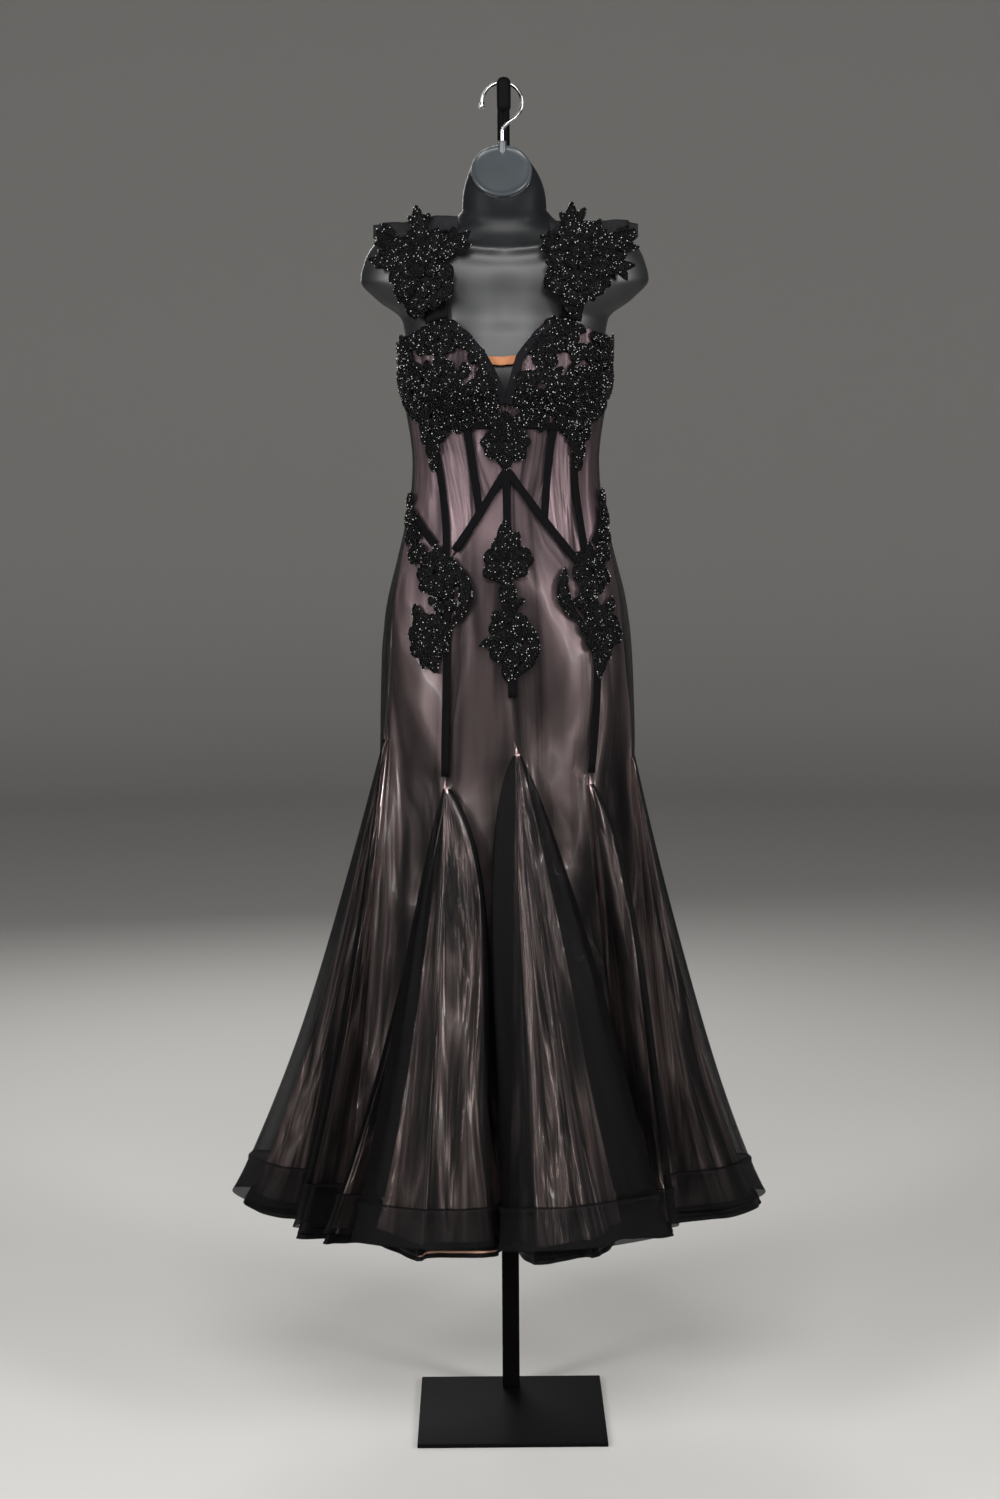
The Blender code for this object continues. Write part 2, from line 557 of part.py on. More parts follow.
FORM_HEIGHTS = (0.955, 1.03, 1.10, 1.17, 1.23, 1.28, 1.33, 1.37, 1.40, 1.43, 1.464, 1.491, 1.515, 1.543,
                1.569, 1.588, 1.600, 1.609, 1.617, 1.624, 1.634)
sweep = np.linspace(-FORM_EDGE, FORM_EDGE, 19)
shell = [form(sweep, np.full(19, z)) for z in FORM_HEIGHTS]
turn = np.radians(sweep / FORM_EDGE * 167)
rim = (NECK_CENTRE + NECK_WIDE * np.sin(turn)[:, None] * [1, 0, 0] - NECK_TALL * np.cos(turn)[:, None] * NECK_UP)
for t in (0.40, 0.78, 1.0):
    eased = t**2.4
    level = shell[len(FORM_HEIGHTS) - 1]
    mixed = level * (1 - eased) + rim * eased
    mixed[:, 2] = level[:, 2] * (1 - t) + rim[:, 2] * t
    shell.append(mixed)
shell = np.array(shell)
around = np.gradient(shell, axis=1)
up = np.gradient(shell, axis=0)
normals = unit(np.cross(around, up))
normals[-1] = unit(normals[-1] - (normals[-1] @ NECK_OUT)[:, None] * NECK_OUT)
wall("form_torso", shell[::-1], normals[::-1], FORM_WALL, gap=0)

# %% Straps over the shoulders, crin tabs and the flowers on them
SHELF = [(float(smooth(FORM, z)[0]), z) for z in np.linspace(1.634, 1.596, 20)]


def strap(name, side, x_front, x_top, x_back, neck_table):
    """From the cup's top edge over the shoulder to the back's top edge."""
    grid, normals = [], []
    for s in (0, 0.25, 0.5, 0.75, 1.0, 1.12, 1.25, 1.4, 1.6, 1.75, 1.88, 2.0, 2.33, 2.66, 3.0):
        row, out = [], []
        for u in (-1, -0.33, 0.33, 1):
            mid = np.interp(s, (0, 1, 2, 3), (x_front, x_top, x_top, x_back))
            x = mid + u * np.interp(s, (0, 1, 2, 3), (0.0135, 0.020, 0.020, 0.016))
            if s <= 1:
                low = float(smooth(neck_table, side * math.degrees(math.asin(x / 0.141)))) + 0.0006
                z = low * (1 - s) + 1.598 * s
                d = math.degrees(math.asin(x / smooth(FORM, z)[0]))
            elif s < 2:
                first = math.degrees(math.asin(x / smooth(FORM, 1.598)[0]))
                d = first + (180 - 2 * first) * (s - 1)
                z = float(np.interp(x / math.sin(math.radians(d)), *zip(*SHELF)))
            else:
                d = 180 - math.degrees(math.asin(min(x / smooth(FORM, 1.598)[0], 1)))
                low = float(smooth(BACK_TOP, 180 - math.degrees(math.asin(x / 0.139)))) + 0.0035
                z = 1.598 * (3 - s) + low * (s - 2)
                d = 180 - math.degrees(math.asin(x / smooth(FORM, z)[0]))
            lift = np.interp(s, (0, 0.5, 2.5, 3), (0.0062, 0.0042, 0.0042, 0.0062))
            n = form_normal(side * d, z)
            row.append(form(side * d, z) + n * lift)
            out.append(n)
        grid.append(row)
        normals.append(out)
    wall(name, np.array(grid), np.array(normals), 0.0020, gap=0)


strap("strap_left", -1, 0.087, 0.098, 0.084, NECK_LEFT)
strap("strap_right", 1, 0.082, 0.098, 0.084, NECK_RIGHT)


def shoulder_face(x, z, lift):
    """A point in front of the strap at this x and height; above the shoulder it stands up, leaning back."""
    x, z = np.broadcast_arrays(np.asarray(x, float), np.asarray(z, float))
    level = np.minimum(z, 1.594)
    d = np.degrees(np.arcsin(np.clip(x / smooth(FORM, level)[..., 0], -0.94, 0.94)))
    n = unit(form_normal(d, level) * [1, 1, 0.4])
    point = form(d, level) + n * np.asarray(lift)[..., None]
    point[..., 0] = np.where(np.abs(x) > np.abs(point[..., 0]), x, point[..., 0])
    above = np.maximum(z - 1.594, 0)
    point[..., 1] += 0.25 * above
    point[..., 2] += above
    return point, n


def crin(name, path):
    """A folded tab of stiff net ribbon standing on the shoulder behind the flowers."""
    path = np.asarray(path, float)
    at = np.linspace(0, len(path) - 1, 11)
    x, z, half = (smooth(np.stack([np.arange(len(path)), path[:, k]], axis=1), at) for k in range(3))
    ripple = 0.0008 * np.cos(at * 4)
    rows = [shoulder_face(x, z + half * u, 0.0060 + ripple) for u in (-1, 0, 1)]
    wall(name, np.stack([r[0] for r in rows], axis=1), np.stack([r[1] for r in rows], axis=1), 0.0010, gap=0)


crin("crin_bow_left", [(-0.060, 1.611, .009), (-0.085, 1.612, .010), (-0.115, 1.606, .010), (-0.145, 1.604, .010),
                       (-0.173, 1.603, .009)])
crin("crin_bow_right", [(0.058, 1.604, .009), (0.085, 1.604, .010), (0.115, 1.605, .010), (0.145, 1.606, .010),
                        (0.176, 1.603, .009)])


def petals(name, centre, tips, notch, lift, thickness, rings=(0.0, 0.52, 1.0)):
    """A flower of beaded petals: angle and length of each tip, with a notch between."""
    outline = []
    for k, (angle, length) in enumerate(tips):
        following = tips[(k + 1) % len(tips)]
        span = (following[0] - angle) % 360
        for share, reach in ((0.0, length), (0.2, length * 0.94), (0.5, notch * (length + following[1]) / 2),
                             (0.8, following[1] * 0.94)):
            outline.append((math.radians(angle + span * share), reach))
    points, faces = [], []
    layers = []
    for level in (1, 0):
        layer = []
        for r in rings[1:]:
            for angle, reach in outline:
                x = centre[0] + math.cos(angle) * reach * r
                z = centre[1] + math.sin(angle) * reach * r
                crown = thickness * (1 - 0.45 * r * r) if level else 0
                layer.append(shoulder_face(x, z, lift + crown)[0])
        crown = thickness if level else 0
        layer.append(shoulder_face(centre[0], centre[1], lift + crown)[0])
        layers.append(layer)
    n, count_rings = len(outline), len(rings) - 1
    per = n * count_rings + 1
    points = layers[0] + layers[1]
    for base, flip in ((0, False), (per, True)):
        for j in range(n):
            k = (j + 1) % n
            face = (base + per - 1, base + j, base + k)
            faces.append(face[::-1] if flip else face)
            for r in range(count_rings - 1):
                a, b = base + r * n + j, base + r * n + k
                quad = (a, a + n, b + n, b)
                faces.append(quad[::-1] if flip else quad)
    outer = (count_rings - 1) * n
    for j in range(n):
        k = (j + 1) % n
        faces.append((outer + j, per + outer + j, per + outer + k, outer + k))
    return solid(name, points, faces)


LEFT_TIPS = [  # angle and length of each leaf and petal
    (31, 0.076), (60, 0.050), (92, 0.073), (143, 0.071), (174, 0.062), (212, 0.042), (245, 0.053), (271, 0.073),
    (292, 0.064), (338, 0.044),
]
RIGHT_TIPS = [
    (-3, 0.073), (25, 0.090), (61, 0.060), (94, 0.077), (146, 0.056), (185, 0.040), (220, 0.054), (262, 0.070),
    (290, 0.052), (324, 0.051),
]
petals("applique_shoulder_left", (-0.1086, 1.560), LEFT_TIPS, 0.64, 0.0080, 0.0030)
petals("applique_shoulder_right", (0.0904, 1.560), RIGHT_TIPS, 0.64, 0.0092, 0.0028)


# %% What it rests on: neck cap, hook, post and base plate
def tube(name, path, radii, sides=8):
    """A round bar swept along a path, with closed ends."""
    path = np.asarray(path, float)
    radii = np.broadcast_to(radii, len(path))
    way = unit(np.gradient(path, axis=0))
    side = unit(np.cross(way[0], [0.0, 1.0, 0.0] if abs(way[0][1]) < 0.9 else [1.0, 0.0, 0.0]))
    points = []
    for p, t, r in zip(path, way, radii):
        side = unit(side - t * np.dot(side, t))
        other = np.cross(t, side)
        for k in range(sides):
            angle = 2 * math.pi * k / sides
            points.append(p + r * (math.cos(angle) * side + math.sin(angle) * other))
    faces = [tuple(range(sides)), tuple(reversed(range(len(points) - sides, len(points))))]
    for i in range(len(path) - 1):
        for k in range(sides):
            a, b = i * sides + k, i * sides + (k + 1) % sides
            faces.append((a, a + sides, b + sides, b))
    return solid(name, points, faces)


def cut_or_join(target, other, operation):
    """A Boolean applied to the target; the other object is removed."""
    change = target.modifiers.new(operation.lower(), "BOOLEAN")
    change.operation, change.object, change.solver = operation, other, "EXACT"
    bpy.context.view_layer.objects.active = target
    bpy.ops.object.modifier_apply(modifier=change.name)
    bpy.data.objects.remove(other, do_unlink=True)
    return target


def turned(name, profile, segments=22):
    """A turned disc on the neck's rim, its profile as share of the rim's size and height off it."""
    points, faces = [], []
    for share, height in profile:
        for k in range(segments):
            angle = 2 * math.pi * k / segments
            points.append(NECK_CENTRE + NECK_OUT * height + share * (
                NECK_WIDE * math.sin(angle) * np.array([1, 0, 0]) - NECK_TALL * math.cos(angle) * NECK_UP))
    points += [NECK_CENTRE + NECK_OUT * profile[0][1], NECK_CENTRE + NECK_OUT * profile[-1][1]]
    rows = len(profile)
    for k in range(segments):
        j = (k + 1) % segments
        faces.append((rows * segments, k, j))
        faces.append((rows * segments + 1, (rows - 1) * segments + j, (rows - 1) * segments + k))
        for i in range(rows - 1):
            a, b = i * segments + k, i * segments + j
            faces.append((a, a + segments, b + segments, b))
    return solid(name, points, faces)


HOOK_X, WIRE = -0.002, 0.0023
cap = turned("form_neck_cap", [(0.4, 0.0004), (1.0, 0.0004), (1.01, 0.003), (0.97, 0.0055), (0.90, 0.0058),
                               (0.86, 0.0040), (0.4, 0.0044)])
boss = tube("boss", [(HOOK_X, HOOK_Y, 1.703), (HOOK_X, HOOK_Y, 1.724)], 0.0055, 12)
cut_or_join(cap, boss, "UNION")
cut_or_join(cap, tube("bore", [(HOOK_X, HOOK_Y, 1.7105), (HOOK_X, HOOK_Y, 1.740)], WIRE + 0.0003, 8), "DIFFERENCE")

LOOP_X, LOOP_Z, LOOP = -0.002, 1.7735, 0.0262
bend = [(HOOK_X, 1.7110), (HOOK_X, 1.725), (HOOK_X, 1.736), (0.0015, 1.7435), (0.0085, 1.7495), (0.0160, 1.7545)]
arc = [(LOOP_X + LOOP * math.cos(a), LOOP_Z + LOOP * math.sin(a)) for a in np.radians(np.linspace(-28, 176, 15))]
tip = [(LOOP_X - LOOP - 0.0006, LOOP_Z - 0.0022), (LOOP_X - LOOP - 0.0008, LOOP_Z - 0.0045),
       (LOOP_X - LOOP - 0.0008, LOOP_Z - 0.0068)]
route = [(x, HOOK_Y, z) for x, z in bend + arc + tip]
tube("hook", route, [WIRE] * (len(route) - 3) + [0.0034, 0.0036, 0.0018], 8)

POST_Y = HOOK_Y + 0.060
ROD, TUBE_HALF, PLATE, PLATE_THICK = 0.0085, 0.012, 0.254, 0.006
JOIN_Z, ARM_Z = 1.020, LOOP_Z + LOOP - WIRE - 0.0004 - 0.0085
rise = [(0, POST_Y, z) for z in (JOIN_Z + 0.0003, 1.40, 1.70, ARM_Z - 0.016)]
corner = [(0, POST_Y - 0.016 + 0.016 * math.cos(a), ARM_Z - 0.016 + 0.016 * math.sin(a))
          for a in np.radians((22, 45, 68))]
reach = [(0, POST_Y - 0.016, ARM_Z), (0, HOOK_Y - 0.012, ARM_Z)]
upper = tube("post_upper", rise + corner + reach, ROD, 12)
end = tube("end", [(0, HOOK_Y - 0.0130, z) for z in (1.7590, 1.761, 1.797, 1.802, 1.8048)],
           [0.0060, 0.0092, 0.0094, 0.0072, 0.0020], 12)
cut_or_join(upper, end, "UNION")


def box(name, low, high, bevel):
    bpy.ops.mesh.primitive_cube_add(size=1, location=[(a + b) / 2 for a, b in zip(low, high)])
    made = bpy.context.object
    made.name, made.data.name = name, name
    made.scale = [b - a for a, b in zip(low, high)]
    bpy.ops.object.transform_apply(location=True, rotation=False, scale=True)
    edge = made.modifiers.new("bevel", "BEVEL")
    edge.width, edge.segments = bevel, 2
    bpy.ops.object.modifier_apply(modifier=edge.name)
    return made


box("post_lower", (-TUBE_HALF, POST_Y - TUBE_HALF, PLATE_THICK + 0.0003), (TUBE_HALF, POST_Y + TUBE_HALF, JOIN_Z), 0.002)
box("base_plate", (-PLATE / 2, -PLATE / 2, 0), (PLATE / 2, PLATE / 2, PLATE_THICK), 0.0012)
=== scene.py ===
# %% [markdown]
# # A ballroom dance dress on its stand
# The real object is a floor-length dance dress of black net over mauve satin, with beaded lace on the
# bodice, hips and shoulders. It hangs on a black plastic form, which hangs by a chrome hook from a post on
# a square steel base. The CAD frame gives every piece its place. This script dresses that frame: finer
# cloth with its soft folds, thousands of small beads, and the finish of each material.

# %% Load the frame
import math
from functools import partial

import bpy
import numpy as np
from mathutils import Matrix, Vector
from mathutils.bvhtree import BVHTree


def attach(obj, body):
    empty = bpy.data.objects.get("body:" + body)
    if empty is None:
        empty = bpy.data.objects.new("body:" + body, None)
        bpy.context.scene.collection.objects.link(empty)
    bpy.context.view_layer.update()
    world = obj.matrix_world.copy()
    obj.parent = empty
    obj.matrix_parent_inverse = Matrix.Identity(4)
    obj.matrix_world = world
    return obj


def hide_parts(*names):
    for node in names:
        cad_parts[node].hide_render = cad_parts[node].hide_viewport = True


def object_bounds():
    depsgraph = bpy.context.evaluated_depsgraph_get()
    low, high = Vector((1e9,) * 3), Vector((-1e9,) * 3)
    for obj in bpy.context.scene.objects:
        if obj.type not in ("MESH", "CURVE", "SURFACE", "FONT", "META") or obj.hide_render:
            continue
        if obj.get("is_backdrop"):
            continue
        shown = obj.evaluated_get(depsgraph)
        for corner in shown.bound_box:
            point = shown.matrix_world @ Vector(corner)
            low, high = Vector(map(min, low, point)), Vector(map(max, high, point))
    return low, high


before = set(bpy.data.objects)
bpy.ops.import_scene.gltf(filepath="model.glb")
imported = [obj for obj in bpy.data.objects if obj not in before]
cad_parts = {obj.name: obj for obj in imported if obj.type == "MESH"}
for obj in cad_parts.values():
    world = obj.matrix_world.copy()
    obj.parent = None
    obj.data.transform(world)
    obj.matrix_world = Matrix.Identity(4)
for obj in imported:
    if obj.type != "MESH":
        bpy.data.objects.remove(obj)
cad_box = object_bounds()
bpy.ops.object.select_all(action="DESELECT")
print("CAD nodes:", len(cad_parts))

# %% [markdown]
# ## Camera, floor and light
# A long lens from chest height keeps the skirt from looking wide. The light is what a studio has for dark
# cloth: a big soft box on each side in front, one above, and one behind for the back of the dress.

# %% Camera
CAMERA_AT = Vector((-0.029, -3.312, 1.265))
PITCH, YAW, ROLL = math.radians(5.95), math.radians(0.32), math.radians(0.373)
LENS_MM = 59.63  # on a sensor 36 mm along the tall side

ahead = Vector((math.sin(YAW) * math.cos(PITCH), math.cos(YAW) * math.cos(PITCH), -math.sin(PITCH)))
right = ahead.cross(Vector((0, 0, 1))).normalized()
up = right.cross(ahead)
rolled_right = right * math.cos(ROLL) - up * math.sin(ROLL)
rolled_up = up * math.cos(ROLL) + right * math.sin(ROLL)
camera = bpy.data.objects.new("camera", bpy.data.cameras.new("camera"))
bpy.context.scene.collection.objects.link(camera)
camera.data.sensor_width, camera.data.lens = 36, LENS_MM
turn = Matrix((rolled_right, rolled_up, -ahead)).transposed().to_4x4()
camera.matrix_world = Matrix.Translation(CAMERA_AT) @ turn
bpy.context.scene.camera = camera
bpy.context.scene.view_settings.view_transform = "Standard"
print("lens:", LENS_MM, "mm")

# %% Floor and lights
bpy.ops.mesh.primitive_circle_add(vertices=128, radius=7, fill_type="NGON")
floor = bpy.context.object
floor.name = "floor"
bpy.ops.object.mode_set(mode="EDIT")
bpy.ops.mesh.select_mode(type="EDGE")
bpy.ops.mesh.select_all(action="SELECT")
reach, height = 7.0, 0.0
for wide, tall in ((7.6, 0.08), (8.2, 0.34), (8.65, 0.80), (8.9, 1.40), (9.0, 2.10), (9.0, 6.0)):
    bpy.ops.mesh.extrude_edges_move()
    bpy.ops.transform.resize(value=(wide / reach, wide / reach, 1))
    bpy.ops.transform.translate(value=(0, 0, tall - height))
    reach, height = wide, tall
bpy.ops.object.mode_set(mode="OBJECT")
bpy.ops.object.shade_smooth()
floor_finish = bpy.data.materials.new("pale_floor")
floor_finish.use_nodes = True
floor_shader = floor_finish.node_tree.nodes["Principled BSDF"]
floor_shader.inputs["Base Color"].default_value = (0.44, 0.43, 0.415, 1)
floor_shader.inputs["Roughness"].default_value = 0.75
floor.data.materials.append(floor_finish)
floor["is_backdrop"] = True

world = bpy.data.worlds.new("studio")
world.use_nodes = True
world.node_tree.nodes["Background"].inputs["Color"].default_value = (0.105, 0.104, 0.102, 1)
world.node_tree.nodes["Background"].inputs["Strength"].default_value = 1.0
bpy.context.scene.world = world

LIGHTS = {  # name: place, width and height, watts
    "left_box": ((-2.6, -2.3, 2.2), (0.9, 2.0), 128),
    "right_box": ((2.7, -2.1, 2.1), (0.9, 1.9), 110),
    "top_box": ((0.0, -2.6, 3.1), (2.0, 1.2), 92),
    "back_box": ((-0.6, 2.9, 2.5), (1.6, 1.8), 60),
}
for name, (place, size, watts) in LIGHTS.items():
    light = bpy.data.lights.new(name, "AREA")
    light.shape, light.size, light.size_y, light.energy = "RECTANGLE", size[0], size[1], watts
    lamp = bpy.data.objects.new(name, light)
    lamp.location = place
    lamp.rotation_euler = (Vector((0, 0, 1.05)) - Vector(place)).to_track_quat("-Z", "Y").to_euler()
    bpy.context.scene.collection.objects.link(lamp)
print("lights:", len(LIGHTS))

# %% [markdown]
# ## The sizes of the dress
# The dress is described as a maker would note it: a table of sections of the body, the seams as angles
# round it, and the hem seen from above, with one row for each fold and valley. The cloth below is drawn
# through the same tables as the CAD solids, with many more points, so it lies where they are.

# %% Named sizes and tables
HOOK_X, HOOK_Y = -0.002, 0.0315  # the hook's upright; the form and the dress hang in its plane
FORM_INSET, FORM_WALL, FORM_EDGE = 0.0060, 0.0030, 104.0
RIBBON, RIBBON_LIFT = 0.0010, 0.0009
APEX_WIDTH, APEX_RADIUS = 0.0026, 0.13  # a godet's point, and how far out from the body's middle it lies
CUP_X, CUP_Z, CUP_RX, CUP_ABOVE, CUP_BELOW, CUP_RISE = 0.064, 1.400, 0.046, 0.046, 0.028, 0.022

BODY = np.array([  # height, half width, depth in front of the hook plane, depth behind it
    (0.250, 0.172, 0.100, 0.104), (0.930, 0.172, 0.100, 0.104), (1.011, 0.170, 0.101, 0.110),
    (1.065, 0.167, 0.102, 0.113), (1.119, 0.160, 0.102, 0.112), (1.172, 0.147, 0.099, 0.106),
    (1.226, 0.134, 0.092, 0.097), (1.279, 0.1255, 0.086, 0.090), (1.306, 0.1245, 0.085, 0.088),
    (1.332, 0.1265, 0.086, 0.088), (1.359, 0.1305, 0.088, 0.089), (1.385, 0.135, 0.090, 0.090),
    (1.412, 0.139, 0.091, 0.091), (1.464, 0.140, 0.086, 0.091), (1.500, 0.142, 0.076, 0.088),
])
SHOULDERS = np.array([  # the same for the form above the bodice
    (1.491, 0.138, 0.073, 0.074), (1.517, 0.170, 0.069, 0.070), (1.543, 0.192, 0.066, 0.062),
    (1.569, 0.186, 0.061, 0.054), (1.592, 0.172, 0.054, 0.046), (1.604, 0.142, 0.050, 0.042),
    (1.612, 0.104, 0.047, 0.040), (1.620, 0.071, 0.044, 0.038), (1.634, 0.0565, 0.041, 0.036),
])
SEAM_TABLES = {  # height, then degrees from the centre front
    "front": ((1.30, 0.0), (1.05, 1.0), (0.924, 3.8)),
    "princess_right": ((1.355, 47.0), (1.30, 45.2), (1.20, 45.4), (1.05, 44.6), (0.883, 39.0)),
    "side_right": ((1.464, 90.0), (1.20, 89.0), (0.912, 82.0)),
    "back_right": ((1.464, 140.0), (1.20, 142.0), (0.905, 136.0)),
    "back": ((1.464, 180.0), (0.915, 180.0)),
    "back_left": ((1.464, 220.0), (1.20, 218.0), (0.905, 224.0)),
    "side_left": ((1.464, 270.0), (1.20, 272.0), (0.940, 287.0)),
    "princess_left": ((1.355, 310.0), (1.30, 315.4), (1.20, 326.0), (1.05, 332.0), (0.879, 331.0)),
}
BONE_LEFT = ((1.352, -23.3), (1.226, -14.6))
BONE_RIGHT = ((1.352, 28.6), (1.226, 21.1))
UNDERBUST = ((-90, 1.392), (-70, 1.368), (-35, 1.348), (0, 1.352), (35, 1.348), (70, 1.368), (90, 1.392))
YOKE = ((-60, 1.08), (-32.5, 1.172), (0, 1.293), (45, 1.152), (70, 1.08))
NECK_LEFT = ((-90, 1.463), (-60, 1.470), (-46, 1.480), (-31, 1.487), (-9.8, 1.435), (-2.5, 1.397), (0, 1.372))
NECK_RIGHT = ((0, 1.372), (1.5, 1.397), (5, 1.435), (26, 1.488), (43, 1.482), (60, 1.471), (90, 1.463))
BACK_TOP = ((90, 1.463), (115, 1.455), (140, 1.440), (180, 1.425), (220, 1.440), (245, 1.455), (270, 1.463))

HEM = np.array([  # x, y from the hook plane, height, one row for each fold or valley round the hem
    (-0.002, -0.150, 0.288), (-0.013, -0.258, 0.300), (0.090, -0.306, 0.316), (0.198, -0.242, 0.314),
    (0.146, -0.138, 0.290), (0.215, -0.172, 0.304), (0.214, -0.068, 0.290), (0.300, -0.070, 0.300),
    (0.348, 0.006, 0.300), (0.220, 0.052, 0.290), (0.312, 0.138, 0.306), (0.172, 0.128, 0.290),
    (0.196, 0.268, 0.308), (0.078, 0.158, 0.288), (0.022, 0.318, 0.308), (-0.060, 0.160, 0.288),
    (-0.168, 0.282, 0.308), (-0.158, 0.140, 0.290), (-0.300, 0.172, 0.306), (-0.222, 0.066, 0.290),
    (-0.378, 0.012, 0.308), (-0.334, -0.056, 0.302), (-0.228, -0.054, 0.290), (-0.286, -0.162, 0.304),
    (-0.188, -0.112, 0.290), (-0.245, -0.190, 0.304), (-0.180, -0.168, 0.296), (-0.205, -0.232, 0.306),
    (-0.108, -0.292, 0.312), (-0.024, -0.247, 0.302),
])
FULLNESS = (  # hem row, then how far the flute there swells out above its hem
    (0.3, 0.0), (1.0, 1.0), (3.2, 1.0), (3.8, 0.0), (4.4, 0.0), (4.9, 1.0), (5.2, 1.0), (5.9, 0.0),
    (26.2, 0.0), (26.8, 0.7), (28.0, 1.0), (29.2, 1.0), (29.8, 0.0),
)
LEAN = (  # hem row, then how far the flute there leans towards the next one, to the right
    (0.25, 0.0), (1.0, -0.026), (1.8, 0.0), (4.6, 0.0), (5.1, 0.016), (5.7, 0.0),
    (28.3, 0.0), (29.0, 0.031), (29.6, 0.0),
)
GODETS = {  # the seam each godet opens, and where it starts and ends on the hem's rows
    "godet_front": ("front", 0.20, 3.60),
    "godet_front_right": ("princess_right", 4.35, 5.70),
    "godet_side_right": ("side_right", 6.30, 8.70),
    "godet_back_right": ("back_right", 9.30, 12.65),
    "godet_back": ("back", 13.30, 14.70),
    "godet_back_left": ("back_left", 15.35, 18.70),
    "godet_side_left": ("side_left", 19.30, 23.60),
    "godet_front_left": ("princess_left", 24.35, 29.65),
}
GORES = {  # the seams on a gore's two sides
    "gore_front_right": ("front", "princess_right"),
    "gore_side_front_right": ("princess_right", "side_right"),
    "gore_side_back_right": ("side_right", "back_right"),
    "gore_back_right": ("back_right", "back"),
    "gore_back_left": ("back", "back_left"),
    "gore_side_back_left": ("back_left", "side_left"),
    "gore_side_front_left": ("side_left", "princess_left"),
    "gore_front_left": ("princess_left", "front"),
}


# %% [markdown]
# ## Curves and the surface of the body
# A body has no straight lines, so each table is joined up by a cubic curve. The curve never swings past its
# rows, so a waist doesn't bulge between two of them. The body is an oval at each height, and the rest of the
# dress is placed on it by degrees round it and by height, as with a tape measure.

# %% Curves and the surface of the body
def smooth(table, x):
    """Each column of a table at x, on a cubic through its rows that doesn't overshoot."""
    table = np.asarray(table, float)
    table = table[np.argsort(table[:, 0])]
    knots, values = table[:, 0], table[:, 1:]
    slopes = np.diff(values, axis=0) / np.diff(knots)[:, None]
    tangents = np.zeros_like(values)
    tangents[0], tangents[-1] = slopes[0], slopes[-1]
    before, after = slopes[:-1], slopes[1:]
    same = before * after > 0
    tangents[1:-1] = np.where(same, 2 * before * after / np.where(same, before + after, 1), 0)
    x = np.clip(np.asarray(x, float), knots[0], knots[-1])
    i = np.clip(np.searchsorted(knots, x) - 1, 0, len(knots) - 2)
    step = (knots[i + 1] - knots[i])[..., None]
    t = (x - knots[i])[..., None] / step
    found = (
        (2 * t**3 - 3 * t**2 + 1) * values[i] + (t**3 - 2 * t**2 + t) * step * tangents[i]
        + (3 * t**2 - 2 * t**3) * values[i + 1] + (t**3 - t**2) * step * tangents[i + 1]
    )
    return found[..., 0] if values.shape[1] == 1 else found


def line(table, x):
    """A two-column table at x, straight between its rows."""
    table = np.asarray(table, float)
    table = table[np.argsort(table[:, 0])]
    return np.interp(x, table[:, 0], table[:, 1])


def ring(table, t):
    """A closed smooth curve through the table's rows, at row number t."""
    count = len(table)
    t = np.asarray(t, float) % count
    i = np.floor(t).astype(int)
    f = (t - i)[..., None]
    a, b, c, d = (table[(i + k) % count] for k in (-1, 0, 1, 2))
    bend = 0.42
    return (
        b * (2 * f**3 - 3 * f**2 + 1) + c * (3 * f**2 - 2 * f**3)
        + bend * (c - a) * (f**3 - 2 * f**2 + f) + bend * (d - b) * (f**3 - f**2)
    )


def unit(vectors):
    return vectors / np.maximum(np.linalg.norm(vectors, axis=-1, keepdims=True), 1e-12)


def oval(degrees, half_width, front, back, z, fullness=1.0):
    """Points of a section that is an oval, flatter in front or behind, with the rise of the two cups."""
    angle = np.radians(degrees)
    across, toward = np.sin(angle), np.cos(angle)
    x = half_width * across
    y = -np.where(toward > 0, front, back) * toward
    rise = np.zeros_like(x * z)
    tall = np.where(z > CUP_Z, CUP_ABOVE, CUP_BELOW)
    for side in (-1, 1):
        fall = -(((x - side * CUP_X) / CUP_RX) ** 2) - ((z - CUP_Z) / tall) ** 2
        rise = rise + fullness * CUP_RISE * np.exp(fall)
    y = y - np.where(toward > 0, rise, 0) * np.clip(toward * 2.5, 0, 1)
    return np.stack([x + 0 * z, y + HOOK_Y, z + 0 * x], axis=-1)


def body(degrees, z):
    """The dress's outer face before the skirt opens."""
    degrees, z = np.broadcast_arrays(np.asarray(degrees, float), np.asarray(z, float))
    half_width, front, back = np.moveaxis(smooth(BODY, z), -1, 0)
    return oval(degrees, half_width, front, back, z)


def body_normal(degrees, z):
    """The way out of the body at each point."""
    around = body(np.asarray(degrees) + 0.5, z) - body(np.asarray(degrees) - 0.5, z)
    rise = body(degrees, np.asarray(z) + 0.002) - body(degrees, np.asarray(z) - 0.002)
    return unit(np.cross(around, rise))


def seam(name, z):
    """Degrees of a seam at this height."""
    return smooth(SEAM_TABLES[name], z)


def apex(name):
    """Height at which a seam opens into its godet."""
    return min(row[0] for row in SEAM_TABLES[name])


WAIST = 1.306  # height of the narrowest section
waist = body(np.arange(361), WAIST)
print("waist, metres round:", round(float(np.linalg.norm(np.diff(waist, axis=0), axis=1).sum()), 3))
